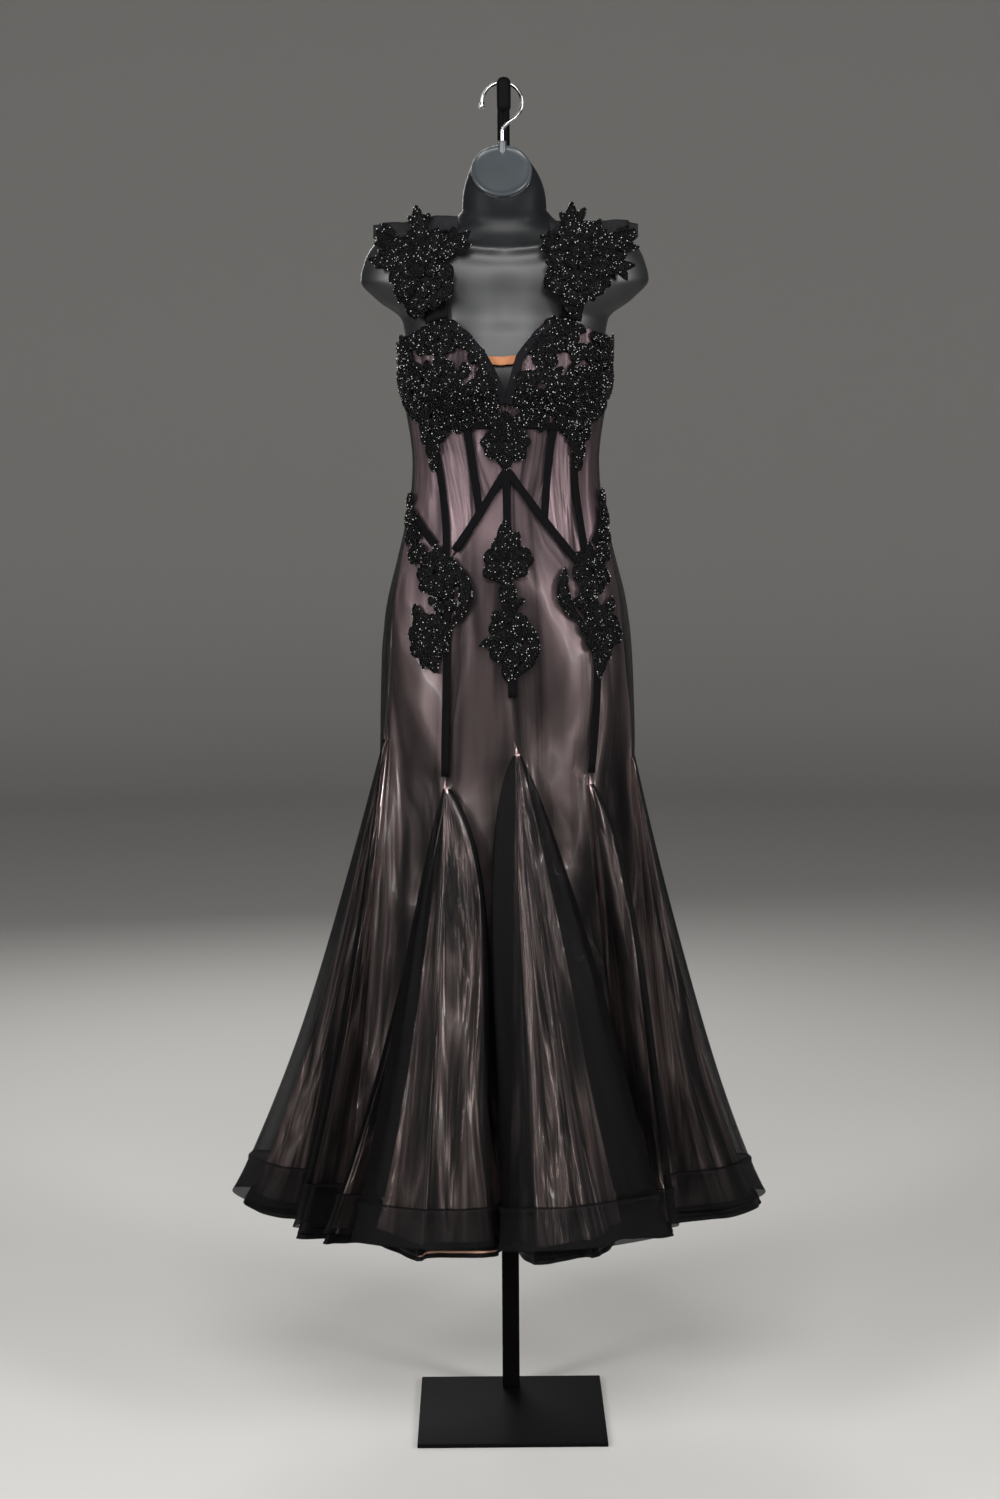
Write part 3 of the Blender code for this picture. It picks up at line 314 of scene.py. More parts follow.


# %% [markdown]
# ## Finishes
# Each finish is a Principled shader with the pattern that the real material has, and the satin's carries
# painted highlights and shade as well. Net is the hard one. Its holes are far too small and many to cut, so
# the net is a clear black skin over the satin, with its mesh as bump, and the satin below shows through it
# as it does on the dress.


# %% Helpers for finishes
def blank(name, colour, roughness, **values):
    """A material with plain numbers on its shader, its node tree and the shader."""
    made = bpy.data.materials.new(name)
    made.use_nodes = True
    shader = made.node_tree.nodes["Principled BSDF"]
    shader.inputs["Base Color"].default_value = (*colour, 1)
    shader.inputs["Roughness"].default_value = roughness
    for key, value in values.items():
        socket = shader.inputs[key.replace("_", " ")]
        socket.default_value = (*value, 1) if isinstance(value, tuple) else value
    return made, made.node_tree, shader


def add(tree, kind, links=(), **settings):
    """A node with its settings and plain inputs; links are (own input, other node, its output)."""
    made = tree.nodes.new("ShaderNode" + kind)
    for key, value in settings.items():
        if hasattr(made, key):
            setattr(made, key, value)
        else:
            made.inputs[key.replace("_", " ")].default_value = value
    for own, other, output in links:
        tree.links.new(other.outputs[output], made.inputs[own])
    return made


def ramp(tree, links, stops):
    made = add(tree, "ValToRGB", links)
    elements = made.color_ramp.elements
    while len(elements) < len(stops):
        elements.new(0.5)
    for element, (place, colour) in zip(elements, stops):
        element.position = place
        element.color = (*colour, 1) if isinstance(colour, tuple) else (colour, colour, colour, 1)
    return made


def uv(tree, name):
    return add(tree, "UVMap", uv_map=name)


# %% Helpers for patterns
def multiplied(tree, factor, a, b):
    """One colour times another, by a factor; a and b are (node, output)."""
    made = add(tree, "Mix", data_type="RGBA", blend_type="MULTIPLY")
    made.inputs[0].default_value = factor
    tree.links.new(a[0].outputs[a[1]], made.inputs[6])
    tree.links.new(b[0].outputs[b[1]], made.inputs[7])
    return made


def arithmetic(tree, operation, second, links):
    """A Math node whose second number is a plain one."""
    made = add(tree, "Math", links, operation=operation)
    made.inputs[1].default_value = second
    return made


def height_of(tree):
    """The height above the floor is this node's output 2."""
    return add(tree, "SeparateXYZ", [(0, add(tree, "TexCoord"), "Object")])


def by_height(tree, height, heights, numbers):
    """A number that goes evenly from one to the other between two heights."""
    return add(tree, "MapRange", [(0, height, 2)], From_Min=heights[0], From_Max=heights[1],
               To_Min=numbers[0], To_Max=numbers[1])


# %% Colour and bump by a pattern
def shade(tree, shader, pattern, colour, low, high):
    """The shader's colour by a pattern: low and high pair a level with the share of the colour there."""
    stops = [(level, tuple(part * c for c in colour)) for level, part in (low, high)]
    tones = ramp(tree, [(0, pattern, 0)], stops)
    tree.links.new(tones.outputs[0], shader.inputs["Base Color"])


def relieve(tree, shader, pattern, strength, distance):
    """The pattern as bump, this many metres high."""
    bump = add(tree, "Bump", [("Height", pattern, 0)], Strength=strength, Distance=distance)
    tree.links.new(bump.outputs[0], shader.inputs["Normal"])


# %% [markdown]
# ## Satin
# Heavy satin shines in streaks that run down its folds. Here the shine is painted into the colour: a noise
# stretched along the Fold map gives painted highlights and painted shade, up to more than three times the
# satin's tone and stronger below the bodice, and the same noise is the bump, so that light and dark agree.
# The colour goes by height, from mauve at the bodice to a darker, browner tone towards the hem.

# %% Satin
SATIN_STOPS = [  # share of the height from hem to neck, and the colour there
    (0.0, (0.410, 0.312, 0.287)), (0.38, (0.480, 0.370, 0.352)), (0.58, (0.530, 0.392, 0.392)),
    (0.80, (0.560, 0.393, 0.428)), (1.0, (0.585, 0.420, 0.455)),
]
# level of the streaks, then the share of the satin's colour there: painted shade low, painted highlight high
PAINTED_SHINE_TONES = [(0.0, 0.05), (0.34, 0.38), (0.68, 1.15), (0.88, 2.3), (1.0, 3.2)]
SATIN_HEM, SATIN_NECK = 0.28, 1.50


def satin_finish(name, stops):
    """Satin whose colour follows the height, with flowing streaks of painted highlight and shade, and a fine
    grain.
    """
    made, tree, shader = blank(
        name, (0.5, 0.4, 0.4), 0.29, Metallic=0.55, Sheen_Weight=0.10, Sheen_Roughness=0.35,
        Sheen_Tint=(0.95, 0.85, 0.88), Specular_IOR_Level=0.7)
    height = height_of(tree)
    level = add(tree, "MapRange", [(0, height, 2)], From_Min=SATIN_HEM, From_Max=SATIN_NECK)
    base = ramp(tree, [(0, level, 0)], stops)
    stretched = add(tree, "Mapping", [(0, uv(tree, "Fold"), 0)], Scale=(15.0, 2.8, 1.0))
    flow = add(tree, "TexNoise", [(0, stretched, 0)], Scale=1.0, Detail=3.0, Roughness=0.45, Distortion=0.9)
    fringe = arithmetic(tree, "PINGPONG", 1.0, [(0, arithmetic(tree, "MULTIPLY", 5.6, [(0, flow, 0)]), 0)])
    # painted highlights and shade of the streaks, with more of them below the bodice
    colour_with_painted_shine = multiplied(tree, 1.0, (base, 0), (ramp(tree, [(0, fringe, 0)], PAINTED_SHINE_TONES), 0))
    painted_shine_share = by_height(tree, height, (1.30, 0.80), (0.28, 0.95))
    tree.links.new(painted_shine_share.outputs[0], colour_with_painted_shine.inputs[0])
    grain = add(tree, "TexNoise", [(0, uv(tree, "Weave"), 0)], Scale=1500.0, Detail=2.0)
    grain_tones = ramp(tree, [(0, grain, 0)], [(0.35, 0.88), (0.65, 1.10)])
    grained = multiplied(tree, 0.8, (colour_with_painted_shine, 2), (grain_tones, 0))
    tree.links.new(grained.outputs[2], shader.inputs["Base Color"])
    glossier = by_height(tree, height, (1.16, 0.90), (0.46, 0.29))
    tree.links.new(glossier.outputs[0], shader.inputs["Roughness"])
    deeper = by_height(tree, height, (1.16, 0.86), (0.50, 0.78))
    relief = add(tree, "Bump", [("Height", fringe, 0), ("Strength", deeper, 0)], Distance=0.0060)
    fine = add(tree, "Bump", [("Height", grain, 0), ("Normal", relief, 0)], Strength=0.12, Distance=0.0003)
    tree.links.new(fine.outputs[0], shader.inputs["Normal"])
    return made


satin = satin_finish("mauve_satin", SATIN_STOPS)


# %% [markdown]
# ## Net and the other black cloths
# Two crossed waves make the diamond mesh of the net, as bump and as a change of tone, and one number lets
# the satin through. Velvet, lace, elastic and facing are opaque: a fine noise in metres of cloth gives them
# their nap. Black cloth still reflects a little, so no colour here is quite zero.

# %% Net and other black cloths
def net_finish(name, colour, alpha, roughness=0.45, mesh=0.0011, relief=0.35):
    """Black net: an even clear skin with the diamond mesh of its threads as bump and tone."""
    made, tree, shader = blank(name, colour, roughness, Alpha=alpha, Specular_IOR_Level=0.04)
    weave = uv(tree, "Weave")
    threads = []
    for tilt in (0.52, -0.52):
        turned = add(tree, "Mapping", [(0, weave, 0)], Rotation=(0, 0, tilt))
        threads.append(add(tree, "TexWave", [(0, turned, 0)], bands_direction="X",
                           Scale=2 * math.pi / (20 * mesh)))
    crossed = add(tree, "Math", [(0, threads[0], 1), (1, threads[1], 1)], operation="MAXIMUM")
    shade(tree, shader, crossed, colour, (0.35, 0.45), (1.0, 1.7))
    relieve(tree, shader, crossed, relief, 0.0003)
    return made


def gather(finish, above, below):
    """Net that is closer on the skirt than on the body, with upright lines where it is gathered."""
    tree = finish.node_tree
    close = by_height(tree, height_of(tree), (0.98, 0.78), (above, below))
    narrow = add(tree, "Mapping", [(0, uv(tree, "Fold"), 0)], Scale=(75.0, 1.7, 1.0))
    uneven = add(tree, "TexNoise", [(0, narrow, 0)], Scale=1.0, Detail=2.5, Roughness=0.6, Distortion=0.5)
    lines = ramp(tree, [(0, uneven, 0)], [(0.42, 0.0), (0.56, 0.35), (0.66, 1.0)])
    seen = arithmetic(tree, "MULTIPLY_ADD", 0.24, [(0, lines, 0), (2, close, 0)])
    tree.links.new(seen.outputs[0], tree.nodes["Principled BSDF"].inputs["Alpha"])


net = net_finish("black_net", (0.0030, 0.0028, 0.0031), 0.375)
gather(net, 0.375, 0.475)
net_double = net_finish("doubled_net", (0.0040, 0.0038, 0.0042), 0.68, 0.5)
crin_net = net_finish("crin_braid", (0.008, 0.008, 0.009), 0.88, 0.38, 0.0022, 0.6)
under_net = net_finish("under_braid", (0.003, 0.003, 0.0033), 0.97, 0.5)


# %% Velvet, lace and the small cloths
def cloth_finish(name, colour, roughness, grain, sheen, relief=0.4):
    """An opaque cloth with a fine uneven nap."""
    made, tree, shader = blank(name, colour, roughness, Sheen_Weight=sheen, Sheen_Roughness=0.5,
                               Specular_IOR_Level=0.05)
    nap = add(tree, "TexNoise", [(0, uv(tree, "Weave"), 0)], Scale=grain, Detail=4.0, Roughness=0.7)
    shade(tree, shader, nap, colour, (0.3, 0.6), (0.7, 1.6))
    relieve(tree, shader, nap, relief, 0.0004)
    return made


velvet = cloth_finish("black_velvet", (0.0022, 0.0022, 0.0026), 0.9, 900.0, 0.0)
binding = cloth_finish("neck_binding", (0.0034, 0.0034, 0.0046), 0.6, 1300.0, 0.0)
lace = cloth_finish("black_lace", (0.0022, 0.0022, 0.0024), 0.6, 700.0, 0.0, 0.9)
elastic = cloth_finish("skin_elastic", (0.27, 0.115, 0.055), 0.6, 1100.0, 0.05)
peach = cloth_finish("peach_facing", (0.42, 0.25, 0.17), 0.5, 1300.0, 0.1)


# %% [markdown]
# ## Glass, plastic and metal
# Moulded plastic, chrome and powder coat are never quite even. A slow noise on object coordinates changes
# their gloss and their tone a little, and a fine one pits the moulded and the coated surfaces.

# %% Glass, plastic and metal
def hard_finish(name, colour, roughness, scale, spread, relief=0.0, **values):
    """A hard surface with a faint unevenness in its gloss."""
    made, tree, shader = blank(name, colour, roughness, **values)
    place = add(tree, "TexCoord")
    cloudy = add(tree, "TexNoise", [(0, place, "Object")], Scale=scale, Detail=5.0, Roughness=0.6)
    gloss = add(tree, "MapRange", [(0, cloudy, 0)], To_Min=roughness - spread, To_Max=roughness + spread)
    tree.links.new(gloss.outputs[0], shader.inputs["Roughness"])
    shade(tree, shader, cloudy, colour, (0.3, 0.85), (0.7, 1.15))
    if relief:
        pits = add(tree, "TexNoise", [(0, place, "Object")], Scale=scale * 60, Detail=2.0)
        relieve(tree, shader, pits, relief, 0.0002)
    return made


bead_glass = hard_finish("black_bead_glass", (0.0035, 0.0035, 0.004), 0.075, 420.0, 0.03,
                         IOR=1.5, Specular_IOR_Level=0.5)
chrome = hard_finish("polished_chrome", (0.42, 0.43, 0.45), 0.10, 30.0, 0.03, Metallic=1.0)
cap_plastic = hard_finish("cap_plastic", (0.030, 0.035, 0.039), 0.36, 12.0, 0.04, 0.06,
                          Specular_IOR_Level=0.5)
powder = hard_finish("stand_powder_coat", (0.0024, 0.0024, 0.0026), 0.58, 6.0, 0.06, 0.25,
                     IOR=1.25, Specular_IOR_Level=0.10)
plastic = hard_finish("form_plastic", (0.0085, 0.0090, 0.0096), 0.40, 9.0, 0.04, 0.06,
                      Specular_IOR_Level=0.40)
# painted shade on the neck: its reflection fades out above the collarbones
form_tree = plastic.node_tree  # painted shade: the neck reflects less than the chest, so it stays dark as if in shade
neck_painted_shade = by_height(form_tree, height_of(form_tree), (1.585, 1.625), (0.40, 0.03))
form_tree.links.new(neck_painted_shade.outputs[0], form_tree.nodes["Principled BSDF"].inputs["Specular IOR Level"])
print("finishes:", len(bpy.data.materials))

# %% [markdown]
# ## Cloth from grids of points
# Each panel is a grid of points, rows down the cloth and columns across it, made a mesh in one go and given
# a real thickness with Solidify. Two UV maps go with it: "Weave" is in metres, so threads keep their size,
# and "Fold" keeps one number for each column, so streaks run down the folds and close up towards a godet's
# point.


# %% Selecting a piece and applying its modifiers
def select_only(piece):
    bpy.ops.object.select_all(action="DESELECT")
    bpy.context.view_layer.objects.active = piece
    piece.select_set(True)


def apply_all(piece):
    select_only(piece)
    for modifier in list(piece.modifiers):
        bpy.ops.object.modifier_apply(modifier=modifier.name)
    piece.select_set(False)


def give_wall(piece, thickness):
    wall = piece.modifiers.new("wall", "SOLIDIFY")
    wall.thickness, wall.offset = thickness, -1  # all of it on the inside
    apply_all(piece)


# %% A sheet from a grid of points
def mesh_piece(name, points, faces, finish, smooth_faces=True):
    mesh = bpy.data.meshes.new(name)
    mesh.from_pydata(np.asarray(points, float).reshape(-1, 3).tolist(), [], faces)
    mesh.materials.append(finish)
    mesh.polygons.foreach_set("use_smooth", [smooth_faces] * len(mesh.polygons))
    mesh.update()
    piece = bpy.data.objects.new(name, mesh)
    bpy.context.scene.collection.objects.link(piece)
    return piece


def weave_lengths(grid):
    """Metres across and down the cloth at each point of a grid, from its middle column."""
    across = np.linalg.norm(np.diff(grid, axis=1), axis=-1)
    u = np.concatenate([np.zeros((len(grid), 1)), np.cumsum(across, axis=1)], axis=1)
    u = u - u[:, [grid.shape[1] // 2]]
    down = np.linalg.norm(np.diff(grid, axis=0), axis=-1)
    v = -np.concatenate([np.zeros((1, grid.shape[1])), np.cumsum(down, axis=0)], axis=0)
    return u, v


def cloth(name, grid, finish, thickness, fold=None, closed=False):
    """A sheet through a grid of points, facing out, with its UV maps and its thickness on the inside."""
    rows, columns = grid.shape[:2]
    last = columns if closed else columns - 1
    i, j = (k.ravel() for k in np.meshgrid(range(rows - 1), range(last), indexing="ij"))
    corners = [(i, j), (i + 1, j), (i + 1, j + 1), (i, j + 1)]
    quads = np.stack([a * columns + b % columns for a, b in corners], axis=1)
    piece = mesh_piece(name, grid, quads.tolist(), finish)
    wide = np.concatenate([grid, grid[:, :1]], axis=1) if closed else grid
    weave = weave_lengths(wide)
    for label, (u, v) in (("Weave", weave), ("Fold", fold or weave)):
        layer = piece.data.uv_layers.new(name=label)
        u, v = np.broadcast_to(u, wide.shape[:2]), np.broadcast_to(v, wide.shape[:2])
        loops = np.stack([np.stack([u[a, b], v[a, b]], axis=-1) for a, b in corners], axis=1)
        layer.data.foreach_set("uv", loops.ravel().astype(np.float32))
    give_wall(piece, thickness)
    return piece


# %% The cut of a sheet, and sewing it on
def cut_of(grid):
    """Width, length and area that this grid of cloth was cut to."""
    u, v = weave_lengths(grid)
    a, b, c, d = grid[:-1, :-1], grid[1:, :-1], grid[1:, 1:], grid[:-1, 1:]
    area = np.linalg.norm(np.cross(c - a, d - b), axis=-1).sum() / 2
    return (u.max(1) - u.min(1)).max(), (v.max(0) - v.min(0)).max(), area


LEAST_SIDE, ROOM, LEAST_FILLED = 0.0102, 1.002, 0.31  # of the oblong that a sheet is cut from


def sew(piece, slot, nodes, cut):
    """Rides the piece on the body and hides the solids that it replaces; the size its sheet was cut to is
    worked out but not used.
    """
    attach(piece, "root")
    if nodes:
        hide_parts(*nodes)
    width, length, area = cut
    width, length = max(width, LEAST_SIDE, area / length * ROOM), max(length, LEAST_SIDE)
    width = min(width, area / length / LEAST_FILLED)


# %% Folds
def ripples(across, down, seed, low, high, lean=0.5):
    """Soft uneven folds, about 1 high: waves across the cloth that wander as they run down it."""
    dice = np.random.default_rng(seed)
    waves, total = 9, 0.0
    for _ in range(waves):
        often, start = dice.uniform(low, high), dice.uniform(0, 2 * math.pi)
        drift = dice.normal(0, lean)
        sway = dice.uniform(0.4, 1.6) * np.sin(down * dice.uniform(0.6, 2.2) + dice.uniform(0, 6))
        swell = 0.65 + 0.35 * np.sin(down * dice.uniform(0.8, 2.6) + dice.uniform(0, 6))
        wave = np.cos(across * often + start + drift * down + sway)
        total = total + swell * wave * (low / often) ** 0.4
    return total / math.sqrt(waves)


# %% [markdown]
# ## The skirt
# The gores are cut to the body down to the thigh, where a godet opens each seam into a flute. The satin
# hangs in flutes of its own, narrower than those of the net, so at the sides of each flute only net is
# seen, nearly black. One ring of columns is made round the whole skirt for each layer, and then cut at the
# seams.

# %% The satin's own hem, narrower in each flute
SATIN_EDGES = {1: (2, 0.60), 3: (2, 0.21), 27: (28, 0.20), 29: (28, 0.95)}  # hem row: its tip, how far from it
SATIN_IN = (  # how far the satin's hem lies inside the net's, at each hem row
    .003, .012, .018, .016, .003, .006, .003, .006, .006, .003, .014, .003, .016, .003, .016,
    .003, .016, .003, .014, .003, .020, .014, .003, .008, .003, .005, .003, .012, .016, .006,
)
SATIN_FOLLOWS = ((0.0, 0.3), (4.0, 0.3), (4.4, 1.0), (29.6, 1.0), (30.0, 0.3))  # hem row, share of the swelling

satin_hem = HEM.copy()
for edge, (tip, share) in SATIN_EDGES.items():
    satin_hem[edge, :2] = HEM[tip, :2] + share * (HEM[edge, :2] - HEM[tip, :2])
satin_hem[:, :2] *= (1 - np.array(SATIN_IN) / np.linalg.norm(satin_hem[:, :2], axis=1))[:, None]


# %% Columns round the skirt
COLUMNS_A_FOLD, GORE_COLUMNS = 16, 14


def opening(godet):
    """Where a godet starts: its height and its degrees on the seam."""
    name = GODETS[godet][0]
    return apex(name), float(seam(name, apex(name)))


columns = []  # degrees, height of the column's start, place on the hem's rows, softness, share across
slices = {}  # the columns of each panel
names = list(GODETS)
half = math.degrees(APEX_WIDTH / 2 / APEX_RADIUS)
for godet, following in zip(names, names[1:] + names[:1]):
    name, first, last = GODETS[godet]
    (z, at), (next_z, next_at), next_first = opening(godet), opening(following), GODETS[following][1]
    begin = len(columns)
    for u in np.linspace(0, 1, int((last - first) * COLUMNS_A_FOLD) + 1):
        columns.append((at - half + 2 * half * u, z, first + (last - first) * u, 0.0, u))
    slices[godet] = (begin, len(columns))
    if following == names[0]:
        next_at, next_first = next_at + 360, next_first + len(HEM)
    gore = [g for g, ends in GORES.items() if ends[0] == name][0]
    begin = len(columns) - 1
    for u in np.linspace(0, 1, GORE_COLUMNS + 1)[1:-1]:
        columns.append(((at + half) * (1 - u) + (next_at - half) * u, z * (1 - u) + next_z * u,
                        last * (1 - u) + next_first * u, 0.06 * math.sin(math.pi * u), u))
    slices[gore] = (begin, len(columns) + 1)
degrees, start, place, soft, share = np.array(columns).T
count = len(columns)
print("columns round the skirt:", count)


# %% [markdown]
# ## The shape of the skirt
# A column starts on the body where its panel opens and runs out to its place on the hem. Godet columns
# leave the body at once, and gore columns stay on it longer, which is what makes a flute. Folds are added
# along the normals and die out at the seams, where two panels are sewn together and have to meet.

# %% Points of one cloth of the skirt
def flare(t, soft):
    """Share of the way out to the hem, at a share of the way down; softness keeps it on the body at first."""
    eased = np.where(soft > 0, (np.sqrt(t * t + soft * soft) - soft) / (np.sqrt(1 + soft * soft) - soft), t)
    return 0.78 * eased + 0.22 * eased**3


def hip_side(d, z):
    """1 at the sides of the hips, where the cloth hangs clear of the form, and 0 in front and behind."""
    side = np.clip((np.abs(np.sin(np.radians(d))) - 0.80) / 0.2, 0, 1)
    return np.exp(-(((z - 1.06) / 0.10) ** 2)) * side**2


def ring_normals(points):
    ahead = unit(np.roll(points, -1, axis=1) - points)
    around = ahead + np.roll(ahead, 1, axis=1)
    return unit(np.cross(around, -np.gradient(points, axis=0)))


def seam_hold(u):
    """Folds die out at a panel's seams."""
    return np.clip(np.minimum(u, 1 - u) / 0.12, 0, 1) ** 0.7


# %% The whole ring
def skirt_ring(hem, rows):
    """Points of the whole skirt at these rows: from the body at each column's start out to the hem."""
    row = place % len(HEM)
    follows = 1.0 if hem is HEM else line(SATIN_FOLLOWS, row)
    foot = ring(hem, place) + [0, HOOK_Y, 0]
    t = np.asarray(rows, float)[:, None]
    z = start * (1 - t) + foot[:, 2] * t
    full = line(FULLNESS, row) * follows
    w = flare(t, soft) * (1 - full) + t**0.8 * full
    points = body(degrees, z) * (1 - w[..., None]) + foot * w[..., None]
    points[..., 0] += line(LEAN, row) * follows * np.sin(math.pi * np.sqrt(np.clip(t, 0, 1))) ** 1.5
    points[..., 2] = z
    return points


FOLD_LENGTH = 3.2  # hem rows for one turn of the folds' angle


def folds(rows, seed):
    """The uneven folds of one cloth at these rows, about 1 high."""
    turns = place * 2 * math.pi / FOLD_LENGTH
    return ripples(turns, np.asarray(rows)[:, None] * 3, seed, 2.0, 11.0) * seam_hold(share)


# %% Satin held inside the net
WITHIN = 16  # columns: a fold is held by the cloth over it, not by its neighbour's


def hold_inside(points, outer, gap):
    """The points, with any nearer than this to the outer cloth, or beyond it, put back this far inside it."""
    down, across = outer.shape[:2]
    index = np.arange(down * across).reshape(down, across)
    ahead = np.roll(index, -1, axis=1)
    faces = np.stack([index[1:], ahead[1:], ahead[:-1], index[:-1]], axis=-1).reshape(-1, 4)
    tree = BVHTree.FromPolygons([tuple(p) for p in outer.reshape(-1, 3)], [tuple(f) for f in faces.tolist()])
    held = points.reshape(-1, 3).copy()
    gaps = np.broadcast_to(gap, points.shape[:2]).reshape(-1)
    for _ in range(2):
        for k, point in enumerate(held):
            at, normal, face, _ = tree.find_nearest(Vector(point))
            short = (Vector(point) - at).dot(normal) + gaps[k]
            apart = abs((face - k + across // 2) % across - across // 2)
            if short > 0 and apart < WITHIN:
                held[k] = point - short * np.array(normal)
    return held.reshape(points.shape)


# %% [markdown]
# ## The two cloths
# Net and satin come from the same rules with their own hem, depth of fold and distance from the body. The
# satin is then held inside the net's own surface with a search for the nearest face, so that it stays
# behind the net in the narrow valleys between the flutes too.

# %% The two cloths
class Layer:
    """One cloth of the skirt, net or satin: how far out it lies, how deep its folds are and where it ends."""

    def __init__(self, kind, finish, thickness, hem, last, depth, fitted_depth, fold_seed, wrinkle_seed):
        self.kind, self.finish, self.thickness = kind, finish, thickness
        self.fitted_depth, self.wrinkle_seed = fitted_depth, wrinkle_seed
        rows = last * (np.linspace(0, 1, 62) ** 1.15)
        down = rows[:, None]
        points = skirt_ring(hem, rows)
        fold = folds(rows, fold_seed) * (fitted_depth + (depth - fitted_depth) * down**0.8)
        self.points = points + ring_normals(points) * (self.offset(degrees, points[..., 2]) + fold)[..., None]
        if kind == "satin":
            self.points = hold_inside(self.points, skirt_ring(HEM, rows), 0.0022 + 0.003 * down)

    def offset(self, d, z):
        """How far the cloth lies outside the body: the satin inside the net, and further at the hips' sides."""
        if self.kind == "net":
            return 0.0003 + 0 * d * z
        return -(0.0032 + 0.008 * hip_side(d, z)) - 0.004 * np.clip((1 - z) / 0.5, 0, 1)

    def fitted(self, d, z, u):
        """Points on the body under or over it, with its fine upright wrinkles."""
        wave = ripples(d, z * 9, self.wrinkle_seed, 0.25, 1.5, lean=0.8)
        lift = self.offset(d, z) + wave * seam_hold(u) * self.fitted_depth
        return body(d, z) + body_normal(d, z) * lift[..., None]


NET_SEED, SATIN_SEED = 14, 16
net_layer = Layer("net", net, 0.0004, HEM, 0.918, 0.0024, 0.0010, NET_SEED, 26)
satin_layer = Layer("satin", satin, 0.0007, satin_hem, 1.012, 0.0060, 0.0020, SATIN_SEED, 28)
hem_steps = np.linalg.norm(np.diff(net_layer.points[-1], axis=0), axis=-1)
hem_arc = np.concatenate([[0], np.cumsum(hem_steps)])


# %% [markdown]
# ## Gores and godets
# The ring of columns is cut at the seams. A godet is a part of the ring, and a gore has rows on the body
# above it as well, up to its top edge. The Fold map holds the length along the net's hem, so that
# neighbouring panels get different streaks.

# %% Gores and godets, cut from the ring
FITTED_ROWS = 46


def gore_top(name, d):
    """Height of a gore's top edge at these degrees."""
    turned = (d + 180) % 360 - 180
    if name.startswith("gore_front"):
        return line(YOKE, turned) - 0.0008
    if name.startswith("gore_side_front"):
        return smooth(UNDERBUST, np.clip(turned, -90, 90))
    return smooth(BACK_TOP, d % 360)


def gore_grid(name, layer):
    low, high = GORES[name]
    index = np.arange(*slices[name]) % count
    u = np.linspace(0, 1, len(index))
    turn = 360 if seam(high, 1.0) < seam(low, 1.0) else 0

    def across(z):
        return seam(low, z) * (1 - u) + (seam(high, z) + turn) * u

    z = np.full(len(index), 1.3)
    for _ in range(12):  # the edge's height and its degrees settle together
        z = gore_top(name, across(z))
    t = np.linspace(0, 1, FITTED_ROWS + 1)[:-1, None]
    heights = z * (1 - t) + start[index] * t
    return np.concatenate([layer.fitted(across(heights), heights, u), layer.points[:, index]]), index


def hang_panel(name, layer):
    """One panel in one cloth. The satin stands for the solid, and the net lies over it."""
    if name in GORES:
        grid, index = gore_grid(name, layer)
    else:
        index = np.arange(*slices[name])
        grid = layer.points[1:, index]
    arc = np.where(index < index[0], hem_arc[index] + hem_arc[-1], hem_arc[index])
    piece = cloth(f"{name}_{layer.kind}", grid, layer.finish, layer.thickness,
                  fold=(arc, weave_lengths(grid)[1]))
    nodes, slot = ((name,), "net_over_satin") if layer is satin_layer else ((), "black_net")
    sew(piece, slot, nodes, cut_of(grid))


for name in [*GORES, *GODETS]:
    for layer in (satin_layer, net_layer):
        hang_panel(name, layer)
print("skirt panels:", len(GORES) + len(GODETS), "in two layers")

# %% [markdown]
# ## The hem
# A band of doubled net with a raised ridge closes the net's hem. The satin ends in a narrow braid of its
# own with a hem tape below it, and where the flutes lift at the left front a peach facing shows. Each is a
# strip of rows round the same ring, so it follows every fold.

# %% Hem band of doubled net with its ridge
band_rows = np.array([0.913, 0.917, 0.920, 0.924, 0.928, 0.945, 0.965, 0.985, 0.996, 1.0])
band_out = np.array([0.0006, 0.0022, 0.0030, 0.0024, 0.0010, 0.0008, 0.0012, 0.0018, 0.0026, 0.0026])
band = skirt_ring(HEM, band_rows)
band = band + ring_normals(band) * band_out[:, None, None]
band = band + ring_normals(band) * (folds(band_rows, NET_SEED) * 0.0020)[..., None]
sew(cloth("hem_band_net", band, net_double, 0.0007, closed=True), "black_net", ("hem_band",), cut_of(band))
print("hem band, metres round:", round(cut_of(band)[0], 3))

# %% The satin's facing, braid and tape
FACING_AT, FACING_REACH = 28.3, 1.4  # hem rows: the middle of the folds whose facing shows, and how far they go
turned_up = np.clip(FACING_REACH - np.abs(place % len(HEM) - FACING_AT), 0, 1)


def satin_edge(name, rows, outs, finish, thickness, slot, nodes=(), shorter=None):
    """A strip along the satin's hem, drawn up to the shorter rows where the facing shows."""
    strip = skirt_ring(satin_hem, rows)
    if shorter:
        strip += (skirt_ring(satin_hem, shorter) - strip) * turned_up[:, None]
    lift = folds(rows, SATIN_SEED) * 0.0065 - 0.0032 + np.array(outs)[:, None]
    strip = strip + ring_normals(strip) * lift[..., None]
    sew(cloth(name, strip, finish, thickness, closed=True), slot, nodes, cut_of(strip))


satin_edge("satin_facing", [1.0075, 1.0100, 1.0125, 1.0145], [0.0012, 0.0018, 0.0022, 0.0022],
           peach, 0.0006, "elastic")
satin_edge("satin_hem_braid", [0.9900, 0.995, 1.001, 1.0080, 1.0142], [0.0024, 0.0026, 0.0028, 0.0034, 0.0036],
           under_net, 0.0012, "black_net", shorter=[0.9900, 0.994, 0.998, 1.0040, 1.0078])
satin_edge("satin_hem_tape", [1.0135, 1.016, 1.019, 1.022, 1.0235], [0.0026, 0.0030, 0.0034, 0.0040, 0.0034],
           under_net, 0.0016, "black_net", ("satin_flounce",))


